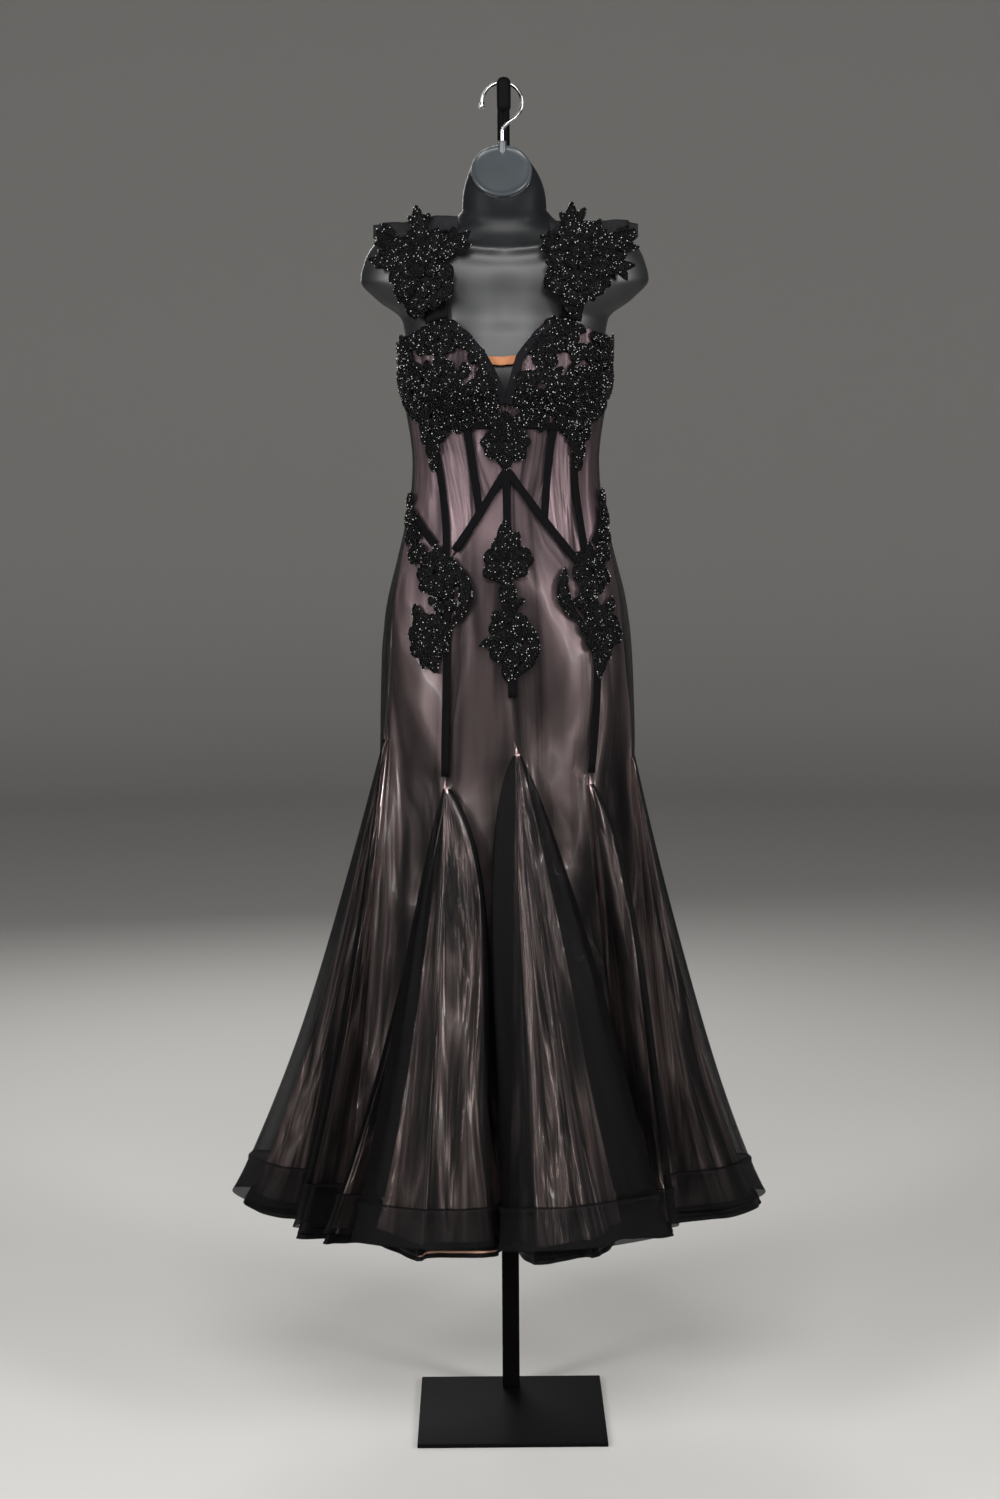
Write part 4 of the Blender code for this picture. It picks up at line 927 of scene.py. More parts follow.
# %% [markdown]
# ## The bodice
# Three midriff panels and two cups, satin under net like the skirt, each held by the seams that the velvet
# covers. A panel is a grid between two upright seams and two edges, pushed out or in by its soft pulls.

# %% Edges of the bodice's panels
under, yoke = partial(smooth, UNDERBUST), partial(line, YOKE)
neck_left, neck_right = partial(smooth, NECK_LEFT), partial(smooth, NECK_RIGHT)
bone_left, bone_right = partial(line, BONE_LEFT), partial(line, BONE_RIGHT)


def left_seam(name):
    """A seam on the left, counted in degrees below 0."""
    return lambda z: seam(name, z) - 360


def middle(z):
    return 0 * z


def patch(left, right, top, bottom, columns, rows):
    """Degrees and heights of a grid between two seams and two edges, and its share across."""
    u = np.linspace(0, 1, columns + 1)
    ends = []
    for edge in (top, bottom):
        z = edge(left(1.3) * (1 - u) + right(1.3) * u)
        for _ in range(12):
            z = edge(left(z) * (1 - u) + right(z) * u)
        ends.append(z)
    down = np.linspace(0, 1, rows + 1)[:, None]
    z = ends[0] * (1 - down) + ends[1] * down
    return left(z) * (1 - u) + right(z) * u, z, np.broadcast_to(u, z.shape)


# %% Bodice panels
BODICE = {  # left and right seams, top and bottom edges, columns, rows, depth of its pulls and their seed
    "midriff_centre": (bone_left, bone_right, under, yoke, 36, 34, 1.0, 14),
    "midriff_left": (left_seam("princess_left"), bone_left, under, yoke, 22, 34, 1.0, 12),
    "midriff_right": (bone_right, partial(seam, "princess_right"), under, yoke, 22, 34, 1.0, 13),
    "cup_left": (left_seam("side_left"), middle, neck_left, under, 64, 44, 0.5, 8),
    "cup_right": (middle, partial(seam, "side_right"), neck_right, under, 64, 44, 0.5, 9),
}
BODICE_LAYERS = (("satin", satin, 0.0009, -0.0012, 0.0010), ("net", net, 0.0004, 0.0004, 0.0003))
for name, (*edges, columns, rows, pulled, seed) in BODICE.items():
    d, z, u = patch(*edges, columns, rows)
    pulls = ripples(d + 160 * z, z * 14, seed, 0.12, 0.55, lean=1.5) * seam_hold(u)
    for kind, finish, thickness, lift, depth in BODICE_LAYERS:
        grid = body(d, z) + body_normal(d, z) * (lift + pulls * (depth * pulled))[..., None]
        nodes, slot = ((name,), "net_over_satin") if kind == "satin" else ((), "black_net")
        sew(cloth(f"{name}_{kind}", grid, finish, thickness), slot, nodes, cut_of(grid))
print("bodice panels:", len(BODICE))


# %% [markdown]
# ## Ribbons and bindings
# Flat velvet ribbon, ten millimetres wide, is stitched over each boning channel and seam. A ribbon is a
# strip of points along its path on the body, a little crowned, so its middle catches less light than its
# edges.

# %% Laying a ribbon
RIBBON_COLUMNS, RIBBON_STEPS, RIBBON_CROWN = 6, 40, 0.0003


def lay(d, z, width, lift):
    """Points of a crowned strip along a path on the body, with its width at each point."""
    reach = np.linalg.norm(body(d + 1, z) - body(d - 1, z), axis=-1) / 2
    along = unit(np.stack([np.gradient(d) * reach, np.gradient(z)], axis=-1))
    u = np.linspace(-1, 1, RIBBON_COLUMNS + 1)
    around = d[:, None] + along[:, 1:] * width[:, None] / 2 * u / reach[:, None]
    height = z[:, None] - along[:, :1] * width[:, None] / 2 * u
    return body(around, height) + body_normal(around, height) * (lift + RIBBON_CROWN * (1 - u * u))[:, None]


def ribbon(name, path, width=0.0100, lift=RIBBON_LIFT, finish=velvet, thickness=RIBBON, slot="velvet"):
    path = np.asarray(path, float)
    at = np.linspace(0, len(path) - 1, RIBBON_STEPS + 1)
    d, z = (np.interp(at, range(len(path)), path[:, k]) for k in (0, 1))
    grid = lay(d, z, width * (1 + 0.03 * np.sin(at * 9)), lift + thickness)
    sew(cloth(name + "_strip", grid, finish, thickness), slot, (name,), cut_of(grid))


def seam_path(name, high, low, turn=0):
    z = high + (low - high) * np.linspace(0, 1, 15) ** 1.25
    return np.stack([seam(name, z) - turn, z], axis=1)


# %% Ribbons
BONE_LIFT = RIBBON_LIFT - 0.0005  # the bone ribbons pass under the others
ribbon("ribbon_yoke", [(-28.5, 1.187), (-14.2, 1.240), (0, 1.293), (13.5, 1.2507), (27, 1.2084), (40.5, 1.166)])
ribbon("ribbon_centre", [(0, 1.284), (0, 1.20), (0.6, 1.10), (2.0, 0.995)])
ribbon("ribbon_bone_left", [(-23.8, 1.352), (-20.5, 1.30), (-15.6, 1.238)], lift=BONE_LIFT)
ribbon("ribbon_bone_right", [(29.0, 1.352), (26.0, 1.30), (21.4, 1.228)], lift=BONE_LIFT)
ribbon("ribbon_princess_left", seam_path("princess_left", 1.338, 0.890, turn=360))
ribbon("ribbon_princess_right", seam_path("princess_right", 1.338, 0.893))
ribbon("ribbon_side_left", [(-62, 1.232), (-42, 1.196)])
ribbon("ribbon_side_right", [(70, 1.232), (54, 1.196)])
ribbon("ribbon_underbust_left", [(d, under(d)) for d in np.linspace(-80, -3, 10)])
ribbon("ribbon_underbust_right", [(d, under(d)) for d in np.linspace(80, 3, 10)])

# %% Bindings, elastic and zip
ribbon("neck_binding_left", [(-1.6, 1.377), (-4.5, 1.402), (-12.0, 1.436), (-21, 1.464), (-30, 1.480)],
       0.0105, finish=binding, thickness=0.0016)
ribbon("neck_binding_right", [(1.6, 1.377), (3.6, 1.402), (7.5, 1.436), (17, 1.466), (25, 1.481)],
       0.0105, finish=binding, thickness=0.0016)
ribbon("neckline_bridge", [(-13.0, 1.435), (-2, 1.433), (5.5, 1.435)], 0.011, lift=-0.0057, finish=elastic,
       slot="elastic")
ribbon("zip", [(180, 1.418), (180, 1.30), (180, 1.08)], 0.0102, finish=binding, slot="black_net")


# %% [markdown]
# ## Straps and stiff net tabs
# Wide straps of black lace run from the cups over the shoulders to the back. On each shoulder a tab of
# crin, a braid woven of stiff nylon, stands out behind the flowers.

# %% Surface of the form
FORM = np.concatenate([BODY[BODY[:, 0] <= 1.47] - [0, FORM_INSET, FORM_INSET, FORM_INSET], SHOULDERS])


def form(d, z):
    d, z = np.broadcast_arrays(np.asarray(d, float), np.asarray(z, float))
    half_width, front, back = np.moveaxis(smooth(FORM, z), -1, 0)
    return oval(d, half_width, front, back, z, 0.5)


def form_normal(d, z):
    around = form(np.asarray(d) + 0.5, z) - form(np.asarray(d) - 0.5, z)
    rise = form(d, np.asarray(z) + 0.001) - form(d, np.asarray(z) - 0.001)
    return unit(np.cross(around, rise))


# %% Straps
STRAP_TOP = 1.598  # where a strap turns over the shoulder
CUP_REACH, BACK_REACH = 0.141, 0.139  # half widths of the body at the straps' two ends
SHELF = [(float(smooth(FORM, z)[0]), z) for z in np.linspace(1.634, 1.596, 20)]
STRAP_STEPS = (  # along the strap: 0 at the cup, 1 to 2 over the shoulder, 3 at the back; closer where it turns
    0, 0.25, 0.5, 0.75, 1.0, 1.12, 1.25, 1.4, 1.6, 1.75, 1.88, 2.0, 2.33, 2.66, 3.0)
STRAP_ROWS, STRAP_COLUMNS = 57, 13


def degrees_at(x, half_width):
    return math.degrees(math.asin(x / half_width))


def strap_place(s, x, side, neck):
    """Degrees and height on the form at a step of the strap, this far out to its side."""
    if s <= 1:
        low = float(neck(side * degrees_at(x, CUP_REACH))) + 0.0006
        z = low * (1 - s) + STRAP_TOP * s
        return degrees_at(x, smooth(FORM, z)[0]), z
    if s < 2:
        first = degrees_at(x, smooth(FORM, STRAP_TOP)[0])
        d = first + (180 - 2 * first) * (s - 1)
        return d, float(np.interp(x / math.sin(math.radians(d)), *zip(*SHELF)))
    low = float(smooth(BACK_TOP, 180 - degrees_at(x, BACK_REACH))) + 0.0035
    z = STRAP_TOP * (3 - s) + low * (s - 2)
    return 180 - degrees_at(x, smooth(FORM, z)[0]), z


# %% Cloth of the straps
def strap(name, side, x_front, x_top, x_back, neck):
    """From the cup's top edge over the shoulder to the back's top edge."""
    steps = np.interp(np.linspace(0, 14, STRAP_ROWS), range(15), STRAP_STEPS)
    grid = []
    for s in steps:
        mid = np.interp(s, (0, 1, 2, 3), (x_front, x_top, x_top, x_back))
        half = np.interp(s, (0, 1, 2, 3), (0.0135, 0.020, 0.020, 0.016))
        clear = np.interp(s, (0, 0.5, 2.5, 3), (0.0062, 0.0042, 0.0042, 0.0062))
        row = []
        for u in np.linspace(-1, 1, STRAP_COLUMNS):
            d, z = strap_place(s, mid + u * half * (1 + 0.03 * math.sin(s * 40)), side, neck)
            lift = clear + 0.0003 * math.cos(5 * u + 3 * s)
            row.append(form(side * d, z) + form_normal(side * d, z) * lift)
        grid.append(row if side > 0 else row[::-1])
    grid = np.array(grid)
    sew(cloth(name + "_lace", grid, lace, 0.0014), "beaded_lace", (name,), cut_of(grid))


strap("strap_left", -1, 0.087, 0.098, 0.084, neck_left)
strap("strap_right", 1, 0.082, 0.098, 0.084, neck_right)


# %% Crin tabs
SHOULDER_TOP = 1.594


def shoulder_face(x, z, lift):
    """A point in front of the strap at this x and height; above the shoulder it stands up, leaning back."""
    x, z = np.broadcast_arrays(np.asarray(x, float), np.asarray(z, float))
    level = np.minimum(z, SHOULDER_TOP)
    d = np.degrees(np.arcsin(np.clip(x / smooth(FORM, level)[..., 0], -0.94, 0.94)))
    n = unit(form_normal(d, level) * [1, 1, 0.4])
    point = form(d, level) + n * np.asarray(lift)[..., None]
    point[..., 0] = np.where(np.abs(x) > np.abs(point[..., 0]), x, point[..., 0])
    above = np.maximum(z - SHOULDER_TOP, 0)
    point[..., 1] += 0.25 * above
    point[..., 2] += above
    return point


def crin(name, path):
    """A folded tab of stiff net ribbon."""
    path = np.asarray(path, float)
    at = np.linspace(0, len(path) - 1, 61)
    x, z, half = (smooth(np.stack([np.arange(len(path)), path[:, k]], axis=1), at) for k in range(3))
    ripple = 0.0012 * np.cos(at * 4) + 0.0005 * np.cos(at * 11)
    grid = np.stack([shoulder_face(x, z + half * u, 0.0060 + ripple + 0.0016 * u * np.sin(at * 2.4))
                     for u in np.linspace(-1, 1, 9)], axis=1)
    sew(cloth(name + "_braid", grid, crin_net, 0.0007), "black_net", (name,), cut_of(grid))


crin("crin_bow_left", [
    (-0.060, 1.611, .009), (-0.085, 1.612, .010), (-0.115, 1.606, .010), (-0.145, 1.604, .010),
    (-0.173, 1.603, .009)])
crin("crin_bow_right", [
    (0.058, 1.604, .009), (0.085, 1.604, .010), (0.115, 1.605, .010), (0.145, 1.606, .010),
    (0.176, 1.603, .009)])
print("straps and tabs: 4")

# %% [markdown]
# ## Beaded lace
# The lace is corded: leaves and petals of thread edged with a fine cord, then covered with small faceted
# beads of black glass. One bead is modelled and copied to every place, and each motif's beads are
# one piece. The places come from a rule: first along each leaf's edge, then inside it, never closer than a
# bead is wide.

# %% One bead
bpy.ops.mesh.primitive_uv_sphere_add(segments=5, ring_count=3, radius=1.06)
bead_pattern = bpy.context.object
bpy.ops.object.mode_set(mode="EDIT")
bpy.ops.mesh.select_all(action="SELECT")
bpy.ops.transform.resize(value=(1, 1, 0.86))
bpy.ops.object.mode_set(mode="OBJECT")
BEAD_POINTS = np.array([v.co for v in bead_pattern.data.vertices])
BEAD_FACES = [list(p.vertices) for p in bead_pattern.data.polygons]
bpy.data.objects.remove(bead_pattern, do_unlink=True)
print("faces of a bead:", len(BEAD_FACES))


# %% Beads on their motif
BEAD, BEAD_SPACING, LACE_LIFT = 0.00245, 0.0026, 0.0034


def turned(count, dice):
    """Random rotation matrices."""
    q = unit(dice.normal(size=(count, 4)))
    w, x, y, z = q.T
    rows = [1 - 2 * (y * y + z * z), 2 * (x * y - z * w), 2 * (x * z + y * w), 2 * (x * y + z * w),
            1 - 2 * (x * x + z * z), 2 * (y * z - x * w), 2 * (x * z - y * w), 2 * (y * z + x * w),
            1 - 2 * (x * x + y * y)]
    return np.stack(rows, axis=1).reshape(-1, 3, 3)


def string_beads(name, places, sizes, finish, dice):
    """One piece of many beads, each turned its own way."""
    places, sizes = np.asarray(places), np.asarray(sizes)
    turns = turned(len(places), dice)
    points = places[:, None] + np.einsum("nij,kj->nki", turns, BEAD_POINTS) * sizes[:, None, None] / 2
    step = len(BEAD_POINTS)
    faces = [[v + k * step for v in face] for k in range(len(places)) for face in BEAD_FACES]
    piece = mesh_piece(name, points, faces, finish, smooth_faces=False)
    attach(piece, "root")


class Places:
    """Bead places taken so far, kept in small cells so that near ones are found at once."""

    CELL = 0.003

    def __init__(self):
        self.cells = {}

    def take(self, p, gap):
        """True, and the place is taken, where no other lies within the gap."""
        a, b, c = np.floor(p / self.CELL).astype(int)
        near = [q for i in (-1, 0, 1) for j in (-1, 0, 1) for k in (-1, 0, 1)
                for q in self.cells.get((a + i, b + j, c + k), ())]
        if any(math.dist(p, q) < gap for q in near):
            return False
        self.cells.setdefault((a, b, c), []).append(p)
        return True


# %% [markdown]
# ## Leaves and petals
# A leaf is drawn flat, in metres to the right and up, and then laid on the body or the shoulder. One
# formula for its half width serves for pointed leaves and for rounded petals, and a flower is a ring of
# petals whose sizes and angles are never quite the same.

# %% Leaves and petals
def reach_at(d, z):
    """Metres along the body for one degree round it."""
    return float(np.linalg.norm(body(d + 1, z) - body(d - 1, z)) / 2)


def on_body(d, z):
    """A patch of the body's surface round a point: metres to the right and up become a place on it."""
    reach = reach_at(d, z)

    def face(a, b, lift):
        around, height = d + a / reach, z + b
        return body(around, height) + body_normal(around, height) * np.asarray(lift)[..., None]

    return face


def on_shoulder(x, z):
    off = 0.0090 if x > 0 else 0.0078
    return lambda a, b, lift: shoulder_face(x + a, z + b, np.asarray(lift) + off)


# %% A leaf
class Leaf:
    """A leaf or petal: the way it points, its size, its bend, its root and how far its tip stands off.

    widest is under 1 for a leaf, wide near its root, and over 1 for a petal, wide near its rounded end.
    """

    def __init__(self, angle, length, width, bend=0.0, root=(0.0, 0.0), curl=0.0, lift=0.0, widest=0.85):
        self.angle, self.length, self.width = math.radians(angle), length, width
        self.bend, self.root, self.curl, self.lift, self.widest = bend, root, curl, lift, widest

    def half(self, t):
        rounded = 0.7 if self.widest < 1 else 0.6
        return self.width / 2 * np.sin(math.pi * np.clip(t, 0, 1) ** self.widest) ** rounded

    def place(self, t, s):
        """Metres right and up, and the height, at a share of the length and of the half width."""
        along = t * self.length
        across = s * self.half(t) + self.bend * self.length * 4 * t * (1 - t)
        a = self.root[0] + along * math.cos(self.angle) - across * math.sin(self.angle)
        b = self.root[1] + along * math.sin(self.angle) + across * math.cos(self.angle)
        open_out = self.half(t) / (self.width / 2)  # nothing at the two ends, so the leaf closes to a point
        crown = 0.0013 * (1 - 0.75 * s * s) - 0.0005 * np.exp(-((s / 0.18) ** 2))
        return a, b, LACE_LIFT + self.lift + crown * open_out + self.curl * t * t

    def beads(self, dice):
        """Candidate places: close along the edge, then inside."""
        spots = []
        turns = np.linspace(0, 1, 160)
        for side in (-0.93, 0.93):
            a, b, _ = self.place(turns, side)
            run = np.concatenate([[0], np.cumsum(np.hypot(np.diff(a), np.diff(b)))])
            for want in np.arange(BEAD_SPACING / 2, run[-1], BEAD_SPACING):
                spots.append((float(np.interp(want, run, turns)), side))
        rows = max(int(self.length / (BEAD_SPACING * 0.8)), 2)
        for i in range(1, rows):
            t = i / rows
            many = max(int(2 * self.half(t) / (BEAD_SPACING * 0.9)), 1)
            for k in range(many + 1):
                down = t + dice.normal(0, 0.01)
                across = (2 * (k + 0.5 * (i % 2)) / many - 1) * 0.8 + dice.normal(0, 0.03)
                spots.append((down, across))
        return [(t, s) for t, s in spots if 0.02 < t < 0.99 and abs(s) < 0.95]


# %% A flower
PETAL_WIDEST = 1.35


def flower(count, length, width, start=90.0, root=(0.0, 0.0), seed=0, curl=0.0, inner=0.003, lift=0.0):
    """Petals round a centre, none quite like the next."""
    dice = np.random.default_rng(seed)
    petals = []
    for k in range(count):
        angle = start + 360 * k / count + dice.uniform(-7, 7)
        long = length * dice.uniform(0.9, 1.1)
        at = (root[0] + inner * math.cos(math.radians(angle)), root[1] + inner * math.sin(math.radians(angle)))
        wide, bend = width * dice.uniform(0.92, 1.1), dice.uniform(-0.05, 0.05)
        petals.append(Leaf(angle, long, wide, bend, at, curl, lift + 0.0003 * (k % 2), PETAL_WIDEST))
    return petals


# %% [markdown]
# ## The mesh of a leaf
# A leaf is a small closed cushion of lace: a grid over its back, another under it and a rim between them. A
# fine cord runs round its edge. All leaves share one list of faces, and only their points are worked out
# anew.

# %% A leaf's mesh and its cord
LEAF_ROWS, LEAF_COLUMNS = 10, 5
CORD, CORD_SIDES, CORD_STEPS = 0.00065, 4, 14


def leaf_faces(rows, columns):
    """Corners of a closed leaf whose points are a grid over its back and then one under it."""
    def at(i, j, k):
        return (k * rows + i) * columns + j

    faces = []
    for i in range(rows - 1):
        for j in range(columns - 1):
            faces.append((at(i + 1, j, 0), at(i + 1, j + 1, 0), at(i, j + 1, 0), at(i, j, 0)))
            faces.append((at(i, j, 1), at(i, j + 1, 1), at(i + 1, j + 1, 1), at(i + 1, j, 1)))
    rim = [(0, j) for j in range(columns)] + [(i, columns - 1) for i in range(1, rows)]
    rim += [(rows - 1, j) for j in range(columns - 2, -1, -1)] + [(i, 0) for i in range(rows - 2, 0, -1)]
    for (i, j), (m, n) in zip(rim, rim[1:] + rim[:1]):
        faces.append((at(m, n, 0), at(m, n, 1), at(i, j, 1), at(i, j, 0)))
    return np.array(faces)


def cord_faces(many, sides):
    """Corners of a closed ring of cord."""
    faces = []
    for i in range(many):
        for k in range(sides):
            corners = (i, k), ((i + 1) % many, k), ((i + 1) % many, (k + 1) % sides), (i, (k + 1) % sides)
            faces.append([m * sides + n for m, n in corners])
    return np.array(faces)


LEAF_FACES = leaf_faces(LEAF_ROWS, LEAF_COLUMNS)
CORD_FACES = cord_faces(2 * CORD_STEPS - 2, CORD_SIDES)


# %% Points of a leaf and of its cord
def leaf_points(leaf, face):
    """A crowned leaf: a grid over its back and another under it."""
    t, s = np.meshgrid(np.linspace(0, 1, LEAF_ROWS), np.linspace(-1, 1, LEAF_COLUMNS), indexing="ij")
    a, b, height = leaf.place(t, s)
    thick = 0.0011 * (1 - 0.5 * s * s * leaf.half(t) / (leaf.width / 2))
    return np.stack([face(a, b, height), face(a, b, height - thick)]).reshape(-1, 3)


def cord_points(leaf, face):
    """Fine cord along the leaf's edge, up one side and down the other."""
    turn = np.linspace(0, 1, CORD_STEPS)
    t = np.concatenate([turn, turn[::-1][1:-1]])
    s = np.concatenate([np.ones(CORD_STEPS), -np.ones(CORD_STEPS - 2)])
    a, b, height = leaf.place(t, s)
    centre = face(a, b, height + 0.0001)
    above = unit(face(a, b, height + 0.001) - centre)
    ahead = unit(np.roll(centre, -1, axis=0) - np.roll(centre, 1, axis=0))
    side = unit(np.cross(ahead, above))
    angles = np.linspace(0, 2 * math.pi, CORD_SIDES, endpoint=False)[:, None]
    ring_points = centre[:, None] + CORD * (np.cos(angles) * side[:, None] + np.sin(angles) * above[:, None])
    return ring_points.reshape(-1, 3)


# %% [markdown]
# ## Sewing a motif
# The leaves of a motif become one piece of lace and its beads another. Doubled points at the leaves' tips
# are merged, and the normals are made to face out after that, because a pole that is still open can turn
# them.

# %% Sewing a motif
bead_counts = []


def cut_of_lace(piece):
    """Width, length and area of the lace that a motif is cut from; where it overlaps, the strip is longer."""
    spots = np.array([vertex.co for vertex in piece.data.vertices])
    low, high = spots.min(0), spots.max(0)
    area = sum(p.area for p in piece.data.polygons) / 2
    wide = max(np.hypot(*(high - low)[:2]), LEAST_SIDE)
    tall = max(high[2] - low[2], LEAST_SIDE)
    return (area / tall * 1.01 if area > wide * tall else wide), tall, area


def lay_lace(name, points, faces):
    """The motif's leaves and cords as one piece, closed, facing out and with its weave in metres."""
    piece = mesh_piece(name + "_lace", np.concatenate(points), np.concatenate(faces).tolist(), lace)
    select_only(piece)
    bpy.ops.object.mode_set(mode="EDIT")
    bpy.ops.mesh.select_all(action="SELECT")
    bpy.ops.mesh.remove_doubles(threshold=0.00002)
    bpy.ops.mesh.normals_make_consistent(inside=False)
    bpy.ops.object.mode_set(mode="OBJECT")
    piece.select_set(False)
    weave = piece.data.uv_layers.new(name="Weave")
    spots = np.array([piece.data.vertices[loop.vertex_index].co for loop in piece.data.loops])
    weave.data.foreach_set("uv", spots[:, [0, 2]].ravel().astype(np.float32))
    sew(piece, "beaded_lace", (name,), cut_of_lace(piece))


# %% One motif
def motif(name, patches, seed, knots=()):
    """Lace and beads of one applique. Patches pair a surface with its leaves; knots are dark flower hearts."""
    dice = np.random.default_rng(seed)
    points, faces, start = [], [], 0
    places, sizes, taken = [], [], Places()
    hearts = [(face(np.array(a), np.array(b), np.array(0.002)), radius) for face, a, b, radius in knots]
    for face, leaf in [(face, leaf) for face, leaves in patches for leaf in leaves]:
        for made, corners in ((leaf_points(leaf, face), LEAF_FACES), (cord_points(leaf, face), CORD_FACES)):
            points.append(made)
            faces.append(corners + start)
            start += len(made)
        t, s = np.array(leaf.beads(dice)).T
        a, b, height = leaf.place(t, s)
        grown = BEAD * dice.uniform(0.86, 1.12, len(t))
        spots = face(a, b, height + 0.36 * grown)
        clear = np.ones(len(t), bool)
        for heart, radius in hearts:
            clear &= np.linalg.norm(spots - heart, axis=1) > radius
        for p, size in zip(spots[clear], grown[clear]):
            if taken.take(p, BEAD_SPACING * 0.92):
                places.append(p)
                sizes.append(size)
    lay_lace(name, points, faces)
    string_beads(name + "_beads", places, sizes, bead_glass, dice)
    bead_counts.append(len(places))


# %% [markdown]
# ## Motifs of the front, the sides and the hips
# Each motif is a short list of flowers and leaves with their places. Leaves that hang in a row follow a
# path, three to a step.

# %% Motifs at the front and the sides
def chain(table, width, seed):
    """Leaves in threes along a path of degrees and heights."""
    dice = np.random.default_rng(seed)
    patches = []
    for (d, z), (next_d, next_z) in zip(table, table[1:]):
        run, rise = (next_d - d) * reach_at(d, z), next_z - z
        angle, length = math.degrees(math.atan2(rise, run)), math.hypot(run, rise)
        patches.append((on_body(d, z), [
            Leaf(angle + lean, length * grow, width * dice.uniform(0.8, 1.1), 0.06 * side)
            for lean, grow, side in ((-24, 0.95, -1), (24, 0.95, 1), (0, 1.15, 0.5))]))
    return patches


motif("applique_front", [
    (on_body(-0.5, 1.174), flower(7, 0.030, 0.022, 64, seed=1) + [
        Leaf(93, 0.038, 0.022, 0, (0, 0.014)), Leaf(62, 0.024, 0.015, 0, (0.006, 0.016)),
        Leaf(4, 0.020, 0.020, 0, (0.016, 0.0))]),
    (on_body(0.5, 1.146), [Leaf(-82, 0.030, 0.017), Leaf(-104, 0.024, 0.014, 0, (-0.003, -0.002))]),
    (on_body(1.0, 1.118), [Leaf(24, 0.022, 0.011, 0, (0, -0.003)), Leaf(-85, 0.024, 0.018),
                           Leaf(205, 0.012, 0.010), Leaf(-55, 0.016, 0.011)]),
    (on_body(0.5, 1.090), flower(6, 0.023, 0.020, 80, seed=2)),
    (on_body(-4, 1.070), [Leaf(196, 0.026, 0.010, -0.1), Leaf(224, 0.018, 0.012), Leaf(-95, 0.028, 0.018)]),
    (on_body(0.5, 1.060), flower(5, 0.023, 0.020, 54, seed=21)),
    (on_body(8.0, 1.099), [Leaf(-104, 0.084, 0.0155, 0.24, (0, 0), 0.0, 0.0005),
                           Leaf(-30, 0.014, 0.010, 0, (0.004, -0.018))]),
    (on_body(0.0, 1.044), [Leaf(-92, 0.028, 0.016)]),
], 101, [(on_body(-0.5, 1.174), 0, 0, 0.005), (on_body(0.5, 1.090), 0, 0, 0.005)])
motif("applique_midriff", [
    (on_body(-0.5, 1.327), flower(6, 0.027, 0.022, 30, seed=3) + [
        Leaf(90, 0.030, 0.021, 0, (0, 0.012)), Leaf(-90, 0.022, 0.017, 0, (0, -0.014)),
        Leaf(4, 0.026, 0.023, 0, (0.007, 0)), Leaf(178, 0.026, 0.023, 0, (-0.007, 0)),
        Leaf(62, 0.024, 0.014, 0, (0.006, 0.014)), Leaf(118, 0.024, 0.014, 0, (-0.006, 0.014))]),
], 102, [(on_body(-0.5, 1.327), 0, 0, 0.0055)])
for name, d0, lower_leaf, side_leaf, seed in (
        ("applique_princess_left", -49.0, -60, 8, 103),
        ("applique_princess_right", 48.0, -120, 172, 104)):
    motif(name, [
        (on_body(d0, 1.343), flower(6, 0.018, 0.016, 40, seed=seed)),
        (on_body(d0, 1.332), [Leaf(-90, 0.030, 0.024), Leaf(lower_leaf, 0.020, 0.014),
                              Leaf(side_leaf, 0.026, 0.010, 0, (0, 0.006))]),
        (on_body(d0, 1.312), [Leaf(-88, 0.022, 0.014)]),
    ], seed, [(on_body(d0, 1.343), 0, 0, 0.004)])
for name, table, seed in (
        ("applique_side_left", [(-78, 1.262), (-74, 1.243), (-66, 1.218), (-58, 1.194), (-50, 1.172)], 5),
        ("applique_side_right", [(80, 1.266), (77, 1.245), (71, 1.218), (64, 1.194), (57, 1.172)], 6)):
    motif(name, chain(table, 0.015, seed), 100 + seed)
print("beads so far:", sum(bead_counts))

# %% Hip motifs
HIP_BLOOMS = {  # side: its name, upper, small and lower flower, strand of the hanging leaf, seed
    -1: ("applique_hip_left", (-38.0, 1.158), (-32.0, 1.123), (-38.5, 1.075), (-27.5, 1.172, 90, 0.087), 107),
    1: ("applique_hip_right", (47.0, 1.159), (41.0, 1.121), (49.0, 1.083), (30.5, 1.165, 104, 0.079), 108),
}
for side, (name, upper, small, lower, (strand_d, strand_z, turn, long), seed) in HIP_BLOOMS.items():
    def lean(angle):
        return angle if side < 0 else 180 - angle

    below = [Leaf(lean(-70), 0.032, 0.018), Leaf(lean(-110), 0.026, 0.018)]
    if side > 0:
        below.append(Leaf(-100, 0.048, 0.018))
    motif(name, [
        (on_body(*upper), flower(7, 0.028, 0.022, 30, seed=seed) + [
            Leaf(lean(100), 0.024, 0.015, 0, (0, 0.014)), Leaf(lean(152), 0.026, 0.012, 0, (0, 0.006))]),
        (on_body(*small), flower(5, 0.016, 0.014, 40, seed=seed + 11)),
        (on_body(strand_d, strand_z), [Leaf(-180 + turn, long, 0.0165, -side * 0.21),
                                       Leaf(lean(-40), 0.016, 0.013, 0, (0, -0.012))]),
        (on_body(lower[0] - side * 5, lower[1] + 0.020), [Leaf(lean(-130), 0.036, 0.020),
                                                          Leaf(lean(-160), 0.028, 0.014)]),
        (on_body(*lower), flower(7, 0.031, 0.025, 70, seed=seed + 20)),
        (on_body(lower[0] + side * 6, lower[1] + 0.020), [Leaf(lean(112), 0.024, 0.014)]),
        (on_body(lower[0] - side, lower[1] - 0.018), below),
    ], seed, [(on_body(*upper), 0, 0, 0.005), (on_body(*lower), 0, 0, 0.005)])


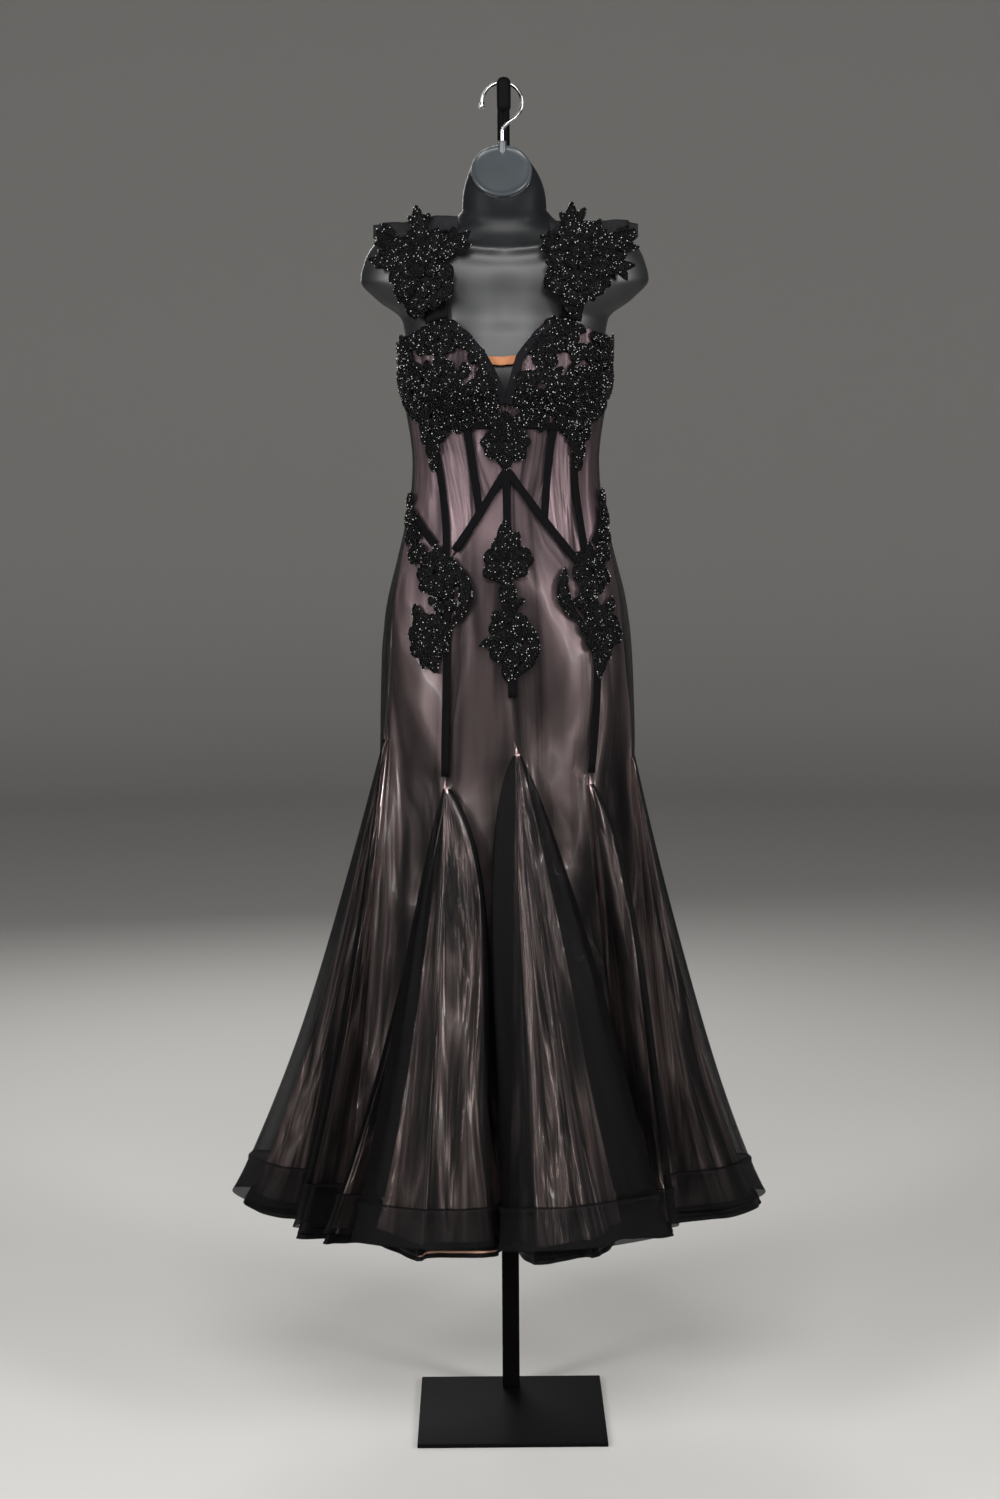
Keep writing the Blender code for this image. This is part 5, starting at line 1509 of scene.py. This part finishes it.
# %% [markdown]
# ## Motifs of the cups
# The lace of a cup is the densest. Its flowers and larger leaves have places of their own, and small leaves
# fill the rest by a rule, apart from a few openings where the satin shows.

# %% Cup motifs
OPENINGS = {  # side: x, height and half width of each place that the lace leaves open
    -1: [(-0.1105, 1.4355, 0.009), (-0.069, 1.4345, 0.011), (-0.054, 1.4350, 0.007)],
    1: [(0.0250, 1.4320, 0.009), (0.0725, 1.4320, 0.011), (0.108, 1.464, 0.0045)],
}
OPENING_TALL = 0.0080  # half height
CUP_BLOOMS = [  # degrees, height, petals, their length and width
    (38.0, 1.386, 6, 0.027, 0.023), (13.5, 1.384, 6, 0.019, 0.017), (61.0, 1.394, 6, 0.023, 0.021),
    (33.0, 1.462, 6, 0.019, 0.018), (77.0, 1.410, 5, 0.018, 0.016),
]
TOP_BLOOM_LEFT = (38.5, 1.462, 6, 0.019, 0.018)
CUP_LEAVES = [  # degrees, height, then angle, length and width of each leaf there
    (25, 1.470, [(-128, 0.030, 0.017), (-100, 0.024, 0.016)]),
    (16, 1.444, [(-118, 0.030, 0.016), (-60, 0.018, 0.013)]),
    (10, 1.418, [(-112, 0.026, 0.014), (-40, 0.024, 0.014)]),
    (48, 1.462, [(-8, 0.026, 0.015), (-40, 0.022, 0.013)]),
    (64, 1.450, [(-55, 0.030, 0.016), (-100, 0.026, 0.013)]),
    (50, 1.416, [(20, 0.022, 0.012), (170, 0.026, 0.014), (-20, 0.024, 0.014)]),
    (26, 1.412, [(150, 0.018, 0.010), (-60, 0.022, 0.016), (40, 0.016, 0.009)]),
    (24, 1.380, [(-60, 0.022, 0.018), (90, 0.022, 0.016)]),
    (50, 1.384, [(-90, 0.022, 0.018), (80, 0.020, 0.014)]),
]


# %% Leaves and flowers of a cup
def cup_patches(side, neck, seed):
    """Flowers, then leaves: those of the table, small ones all over, and rows along the two edges."""
    def at(d, z):
        return on_body(side * d, z)

    def lean(angle):
        return angle if side > 0 else 180 - angle

    blooms = list(CUP_BLOOMS)
    if side < 0:
        blooms[3] = TOP_BLOOM_LEFT
    patches = [(at(d, z), flower(n, l, w, 20 * k, seed=seed + k)) for k, (d, z, n, l, w) in enumerate(blooms)]
    for d, z, leaves in CUP_LEAVES:
        patches.append((at(d, z), [Leaf(lean(angle), l, w) for angle, l, w in leaves]))
    dice = np.random.default_rng(seed + 40)
    for d in np.arange(9, 88, 6.5):
        near = side * np.array([max(d - 6, 1), d, d + 4])
        top = float(neck(near).min()) - 0.009
        for z in np.arange(float(under(side * d)) + 0.012, top, 0.0125):
            there = (d + dice.uniform(-2, 2), z + dice.uniform(-0.003, 0.003))
            angle, bend = dice.uniform(0, 360), dice.uniform(-0.1, 0.1)
            patches.append((at(*there), [Leaf(angle, 0.020, 0.013, bend, lift=-0.0007)]))
    reached = 6.0
    while reached < 88:  # leaves that lie along the top edge
        here, ahead = (float(neck(side * e)) for e in (reached, reached + 4))
        slope = math.degrees(math.atan2(ahead - here, 4 * 0.0024))
        patches.append((at(reached, here - (0.0078 if slope < 30 else 0.016)),
                        [Leaf(lean(slope + dice.uniform(-6, 6)), 0.021, 0.0125, lift=-0.0004)]))
        reached += max(4.6 * math.cos(math.radians(slope)), 1.5)
    for k, d in enumerate((12, 22, 32, 42, 52, 62, 72)):
        low = float(under(side * d)) + 0.016
        patches.append((at(d, low), [Leaf(lean(-90 + 12 * (k % 3 - 1)), 0.018, 0.015)]))
    return patches, [(at(d, z), 0, 0, 0.0055) for d, z, *_ in blooms[:4]]


# %% The openings, and both cups
def leave_open(patches, openings):
    """The patches without the leaves that would lie across an opening."""
    def covers(face, leaf):
        a, b, _ = leaf.place(np.array([0.25, 0.5, 0.75]), 0.0)
        x, _, z = face(a, b, np.zeros(3)).T
        return any((((x - w) / half) ** 2 + ((z - y) / OPENING_TALL) ** 2 < 1).any() for w, y, half in openings)

    return [(face, [leaf for leaf in leaves if not covers(face, leaf)]) for face, leaves in patches]


for name, side, neck, seed in (
        ("applique_cup_left", -1, neck_left, 109),
        ("applique_cup_right", 1, neck_right, 110)):
    patches, knots = cup_patches(side, neck, seed)
    motif(name, leave_open(patches, OPENINGS[side]), seed, knots)
print("beads so far:", sum(bead_counts))

# %% [markdown]
# ## Motifs of the shoulders
# On each shoulder long notched leaves stand up round a flower of two rounds of petals, with big rounded
# petals below it. They curl away from the strap at their tips.

# %% Shoulder motifs
LEFT_TIPS = [  # angle and length of each leaf and petal
    (31, 0.076), (60, 0.050), (92, 0.073), (143, 0.071), (174, 0.062), (212, 0.042), (245, 0.053),
    (271, 0.073), (292, 0.064), (338, 0.044),
]
RIGHT_TIPS = [
    (-3, 0.073), (25, 0.090), (61, 0.060), (94, 0.077), (146, 0.056), (185, 0.040), (220, 0.054),
    (262, 0.070), (290, 0.052), (324, 0.051),
]
NOTCHES = ((0.30, 42), (0.34, -44), (0.58, 36), (0.62, -38))  # share of a leaf's length, turn of the small leaf


def shoulder_leaves(tips, heart, seed):
    """Notched leaves above, big rounded petals below and a flower of two rounds of petals."""
    dice = np.random.default_rng(seed)
    leaves = []
    for k, (angle, length) in enumerate(tips):
        is_petal = 200 < angle < 330
        leaves.append(Leaf(angle, length, 0.036 if is_petal else 0.023, dice.uniform(-0.06, 0.06), (0, 0),
                           0.003 + 0.002 * (k % 3), 0.0004 * (k % 2)))
        if is_petal:
            continue
        for share, turn in NOTCHES:  # smaller leaves stand out on a long one's two sides
            out = length * share
            root = (out * math.cos(math.radians(angle)), out * math.sin(math.radians(angle)))
            leaves.append(Leaf(angle + turn + dice.uniform(-8, 8), length * dice.uniform(0.28, 0.38), 0.012,
                               dice.uniform(-0.1, 0.1), root, 0.002, 0.0006))
    leaves += flower(6, 0.034, 0.029, 25, heart, seed, 0.004, 0.006, 0.0026)
    return leaves + flower(5, 0.018, 0.015, 50, heart, seed + 9, 0.003, 0.005, 0.0044)


for name, centre, tips, heart, seed in (
        ("applique_shoulder_left", (-0.1086, 1.560), LEFT_TIPS, (0.008, -0.022), 111),
        ("applique_shoulder_right", (0.0904, 1.560), RIGHT_TIPS, (0.001, -0.014), 112)):
    face = on_shoulder(*centre)
    motif(name, [(face, shoulder_leaves(tips, heart, seed))], seed, [(face, *heart, 0.006)])
print("beads:", sum(bead_counts))


# %% [markdown]
# ## The form
# The form is a thin moulded shell of black plastic with a hollow back, no arms and a slanted neck.
# It is drawn from a flat grid: each point is moved to its place on the shell, and Solidify gives the wall.

# %% Sizes of the torso
NECK_CENTRE = np.array([-0.0035, HOOK_Y - 0.016, 1.682])
NECK_WIDE, NECK_TALL = 0.0405, 0.0411  # half sizes of the slanted rim
NECK_UP, NECK_OUT = np.array([0, 0.5, 0.866]), np.array([0, -0.866, 0.5])
NECK_EDGE = 167  # degrees from the front to the rim's open end
TORSO_COLUMNS, BODY_ROWS, CHEST_ROWS, NECK_ROWS = 84, 73, 57, 24
TORSO_LOW, TORSO_CHEST, TORSO_HIGH = 0.955, 1.46, 1.634


def chest_relief(point):
    """Collarbones, the notch between them, the hollow of the chest and the seat of the neck."""
    x, z = point[..., 0], point[..., 2]
    wide = np.abs(x)
    bone_z = 1.580 + 0.10 * np.maximum(wide - 0.02, 0)
    bone = 0.0026 * np.exp(-(((z - bone_z) / 0.0055) ** 2)) * np.clip((0.072 - wide) / 0.02, 0, 1)
    bone = bone * np.clip(wide / 0.012, 0.2, 1)
    shelf = -0.0018 * np.exp(-(((z - bone_z + 0.013) / 0.010) ** 2)) * np.clip((0.075 - wide) / 0.02, 0, 1)
    hollow = -0.0030 * np.exp(-((x / 0.018) ** 2) - (((z - 1.505) / 0.055) ** 2))
    tall = np.where(z > 1.606, 0.026, 0.020)
    throat = -0.008 * np.exp(-(((z - 1.606) / tall) ** 2)) * np.clip((0.068 - wide) / 0.04, 0, 1)
    return bone + shelf + hollow + throat


# %% Torso
sweep = np.linspace(-FORM_EDGE, FORM_EDGE, TORSO_COLUMNS + 1)
facing = np.clip(np.cos(np.radians(sweep)) * 2, 0, 1)
rows = []
for z in [*np.linspace(TORSO_LOW, TORSO_CHEST, BODY_ROWS + 1)[:-1],
          *np.linspace(TORSO_CHEST, TORSO_HIGH, CHEST_ROWS + 1)]:
    level = form(sweep, np.full(len(sweep), z))
    n = form_normal(sweep, np.full(len(sweep), z))
    inset = 0.0008 + 0.011 * hip_side(sweep, z)
    rows.append(level + n * (chest_relief(level) * facing - inset)[:, None])
angles = np.radians(sweep / FORM_EDGE * NECK_EDGE)[:, None]
rim = NECK_CENTRE + NECK_WIDE * np.sin(angles) * [1, 0, 0] - NECK_TALL * np.cos(angles) * NECK_UP
shoulder_line = rows[-1]
for t in np.linspace(0, 1, NECK_ROWS + 1)[1:]:
    eased = t**2.4
    mixed = shoulder_line * (1 - eased) + rim * eased
    mixed[:, 2] = shoulder_line[:, 2] * (1 - t) + rim[:, 2] * t
    rows.append(mixed)
shell = np.array(rows)
bpy.ops.mesh.primitive_grid_add(x_subdivisions=shell.shape[1] - 1, y_subdivisions=len(shell) - 1, size=1)
torso = bpy.context.object
torso.name = torso.data.name = "form_torso_shell"
torso.data.vertices.foreach_set("co", shell.ravel().astype(np.float32))
torso.data.materials.append(plastic)
give_wall(torso, FORM_WALL)
select_only(torso)
bpy.ops.object.shade_smooth_by_angle(angle=math.radians(50))
torso.select_set(False)
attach(torso, "root")
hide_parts("form_torso")
print("torso faces:", len(torso.data.polygons))


# %% [markdown]
# ## Neck cap
# The cap closes the slanted neck with a plain dished disc. It starts as a flat cylinder, and its top face
# is inset again and again, up for the rim and down for the dish, before the whole is tilted onto the neck.

# %% Editing helpers
def select_top(piece):
    """Edit mode, with only the highest face that looks up selected."""
    select_only(piece)
    bpy.ops.object.mode_set(mode="EDIT")
    bpy.ops.mesh.select_mode(type="FACE")
    bpy.ops.mesh.select_all(action="DESELECT")
    bpy.ops.object.mode_set(mode="OBJECT")
    best = max((p for p in piece.data.polygons if p.normal.z > 0.9), key=lambda p: p.center.z)
    best.select = True
    bpy.ops.object.mode_set(mode="EDIT")


def round_edges(piece, width, segments):
    """Bevels the sharp edges."""
    edge = piece.modifiers.new("edge", "BEVEL")
    edge.width, edge.segments, edge.limit_method = width, segments, "ANGLE"
    apply_all(piece)


def rounded_cylinder(sides, radius, tall, place, width, segments):
    bpy.ops.mesh.primitive_cylinder_add(vertices=sides, radius=radius, depth=tall, location=place)
    piece = bpy.context.object
    bpy.ops.object.transform_apply(location=True)
    round_edges(piece, width, segments)
    return piece


def join_on(piece, other):
    """Makes the other part one body with the piece."""
    join = piece.modifiers.new("join", "BOOLEAN")
    join.operation, join.object, join.solver = "UNION", other, "EXACT"
    apply_all(piece)
    bpy.data.objects.remove(other, do_unlink=True)


def finish_hard(piece, name, finish, node, angle):
    """Name, finish, smooth shading up to an angle, and the node that the piece replaces."""
    piece.name = piece.data.name = name
    piece.data.materials.clear()
    piece.data.materials.append(finish)
    select_only(piece)
    bpy.ops.object.transform_apply(location=True, rotation=True, scale=True)
    bpy.ops.object.shade_smooth_by_angle(angle=math.radians(angle))
    piece.select_set(False)
    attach(piece, "root")
    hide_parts(node)


# %% Neck cap and the collar that holds the hook
CAP_RIM_AND_DISH = (  # each inset's width, and how far it rises or sinks
    (0.0006, 0.0014), (0.0012, 0.0009), (0.0014, 0.0), (0.0010, -0.0009), (0.0010, -0.0007), (0.004, 0.0),
    (0.010, 0.0003),
)
bpy.ops.mesh.primitive_cylinder_add(
    vertices=72, radius=NECK_WIDE * 0.992, depth=0.0028, location=(0, 0, 0.0018))
cap = bpy.context.object
bpy.ops.object.transform_apply(location=True)
select_top(cap)
for inset, depth in CAP_RIM_AND_DISH:
    bpy.ops.mesh.inset(thickness=inset, depth=depth)
bpy.ops.object.mode_set(mode="OBJECT")
cap.data.transform(Matrix.Diagonal((1, NECK_TALL / NECK_WIDE, 1, 1)))
tilt = Matrix(((1, 0, 0), (0, NECK_UP[1], NECK_OUT[1]), (0, NECK_UP[2], NECK_OUT[2]))).to_4x4()
cap.data.transform(Matrix.Translation(NECK_CENTRE) @ tilt)
join_on(cap, rounded_cylinder(32, 0.0055, 0.020, (HOOK_X, HOOK_Y, 1.7142), 0.0012, 3))
finish_hard(cap, "form_neck_cap_disc", cap_plastic, "form_neck_cap", 35)
print("neck cap faces:", len(cap.data.polygons))


# %% [markdown]
# ## The hook
# The hook is one bent chrome wire with a small ball tip, so it is drawn as a curve: an upright, a bend out
# to the side, and most of a circle. The wire's radius grows at the tip for the ball.

# %% Hook, as a bent wire
def bent_wire(name, route, radii, finish, node, sides=6):
    """A curve through the route with a round bevel, made a mesh with closed ends."""
    curve = bpy.data.curves.new(name, "CURVE")
    curve.dimensions, curve.bevel_depth, curve.bevel_resolution, curve.use_fill_caps = "3D", 1.0, sides, True
    path = curve.splines.new("POLY")
    path.points.add(len(route) - 1)
    for point, place, radius in zip(path.points, route, radii):
        point.co, point.radius = (*place, 1), radius
    wire = bpy.data.objects.new(name, curve)
    bpy.context.scene.collection.objects.link(wire)
    select_only(wire)
    bpy.ops.object.convert(target="MESH")
    piece = bpy.context.object
    finish_hard(piece, name, finish, node, 60)
    return piece


WIRE = 0.0023
LOOP_X, LOOP_Z, LOOP = HOOK_X, 1.7735, 0.0262
upright = [(HOOK_X, 1.7110), (HOOK_X, 1.725), (HOOK_X, 1.736)]
elbow = [(0.0015, 1.7435), (0.0085, 1.7495), (0.0160, 1.7545)]
arc = [(LOOP_X + LOOP * math.cos(a), LOOP_Z + LOOP * math.sin(a))
       for a in np.radians(np.linspace(-28, 176, 15))]
tip = [(LOOP_X - LOOP - out, LOOP_Z - down)
       for out, down in ((0.0006, 0.0022), (0.0008, 0.0045), (0.0008, 0.0068))]
knots = np.array(upright + elbow + arc + tip)
last = len(knots) - 1
at = np.linspace(0, last, 150)
x, z = (smooth(np.stack([np.arange(last + 1), knots[:, k]], axis=1), at) for k in (0, 1))
radii = np.interp(at, [0, last - 3, last - 2.2, last - 1, last - 0.3, last],
                  [WIRE, WIRE, 0.0032, 0.0036, 0.0033, 0.0016])
bent_wire("hook_wire", [(a, HOOK_Y, b) for a, b in zip(x, z)], radii, chrome, "hook")
print("hook, top of the wire:", round(max(z) + WIRE, 4))

# %% [markdown]
# ## The stand
# The post is a square tube with a round rod above it that bends forward and ends in an upturned stub in
# front of the hook. The base is a square steel plate. Bars start as cubes with rounded edges, and the rod
# is a curve.

# %% Post and base plate
POST_Y = HOOK_Y + 0.060
ROD, ROD_BEND, TUBE_HALF, PLATE, PLATE_THICK = 0.0085, 0.016, 0.012, 0.254, 0.006
CLEAR = 0.0003  # between the post's parts
JOIN_Z, ARM_Z = 1.020, LOOP_Z + LOOP - WIRE - 0.0004 - ROD


def bar(name, low, high, bevel, node):
    bpy.ops.mesh.primitive_cube_add(size=1, location=[(a + b) / 2 for a, b in zip(low, high)])
    piece = bpy.context.object
    piece.scale = [b - a for a, b in zip(low, high)]
    bpy.ops.object.transform_apply(location=True, rotation=False, scale=True)
    round_edges(piece, bevel, 4)
    finish_hard(piece, name, powder, node, 30)


bar("post_square_tube", (-TUBE_HALF, POST_Y - TUBE_HALF, PLATE_THICK + CLEAR),
    (TUBE_HALF, POST_Y + TUBE_HALF, JOIN_Z), 0.0022, "post_lower")
bar("base_steel_plate", (-PLATE / 2, -PLATE / 2, 0), (PLATE / 2, PLATE / 2, PLATE_THICK), 0.0014, "base_plate")

# %% Rod, arm and upturned stub
rise = [(0, POST_Y, z) for z in np.linspace(JOIN_Z + CLEAR, ARM_Z - ROD_BEND, 20)]
corner = [(0, POST_Y - ROD_BEND + ROD_BEND * math.cos(a), ARM_Z - ROD_BEND + ROD_BEND * math.sin(a))
          for a in np.radians(np.linspace(9, 81, 9))]
arm = [(0, y, ARM_Z) for y in np.linspace(POST_Y - ROD_BEND, HOOK_Y - 0.012, 6)]
route = rise + corner + arm
rod = bent_wire("post_round_rod", route, [ROD] * len(route), powder, "post_upper", 8)
join_on(rod, rounded_cylinder(40, 0.0093, 0.0458, (0, HOOK_Y - 0.0130, 1.7819), 0.0078, 6))
finish_hard(rod, "post_round_rod", powder, "post_upper", 50)
print("post faces:", len(rod.data.polygons))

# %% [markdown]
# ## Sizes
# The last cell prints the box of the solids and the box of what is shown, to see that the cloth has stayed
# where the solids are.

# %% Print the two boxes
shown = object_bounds()
for label, box in (("CAD box", cad_box), ("shown box", shown)):
    print(label, [[round(c, 4) for c in corner] for corner in box])
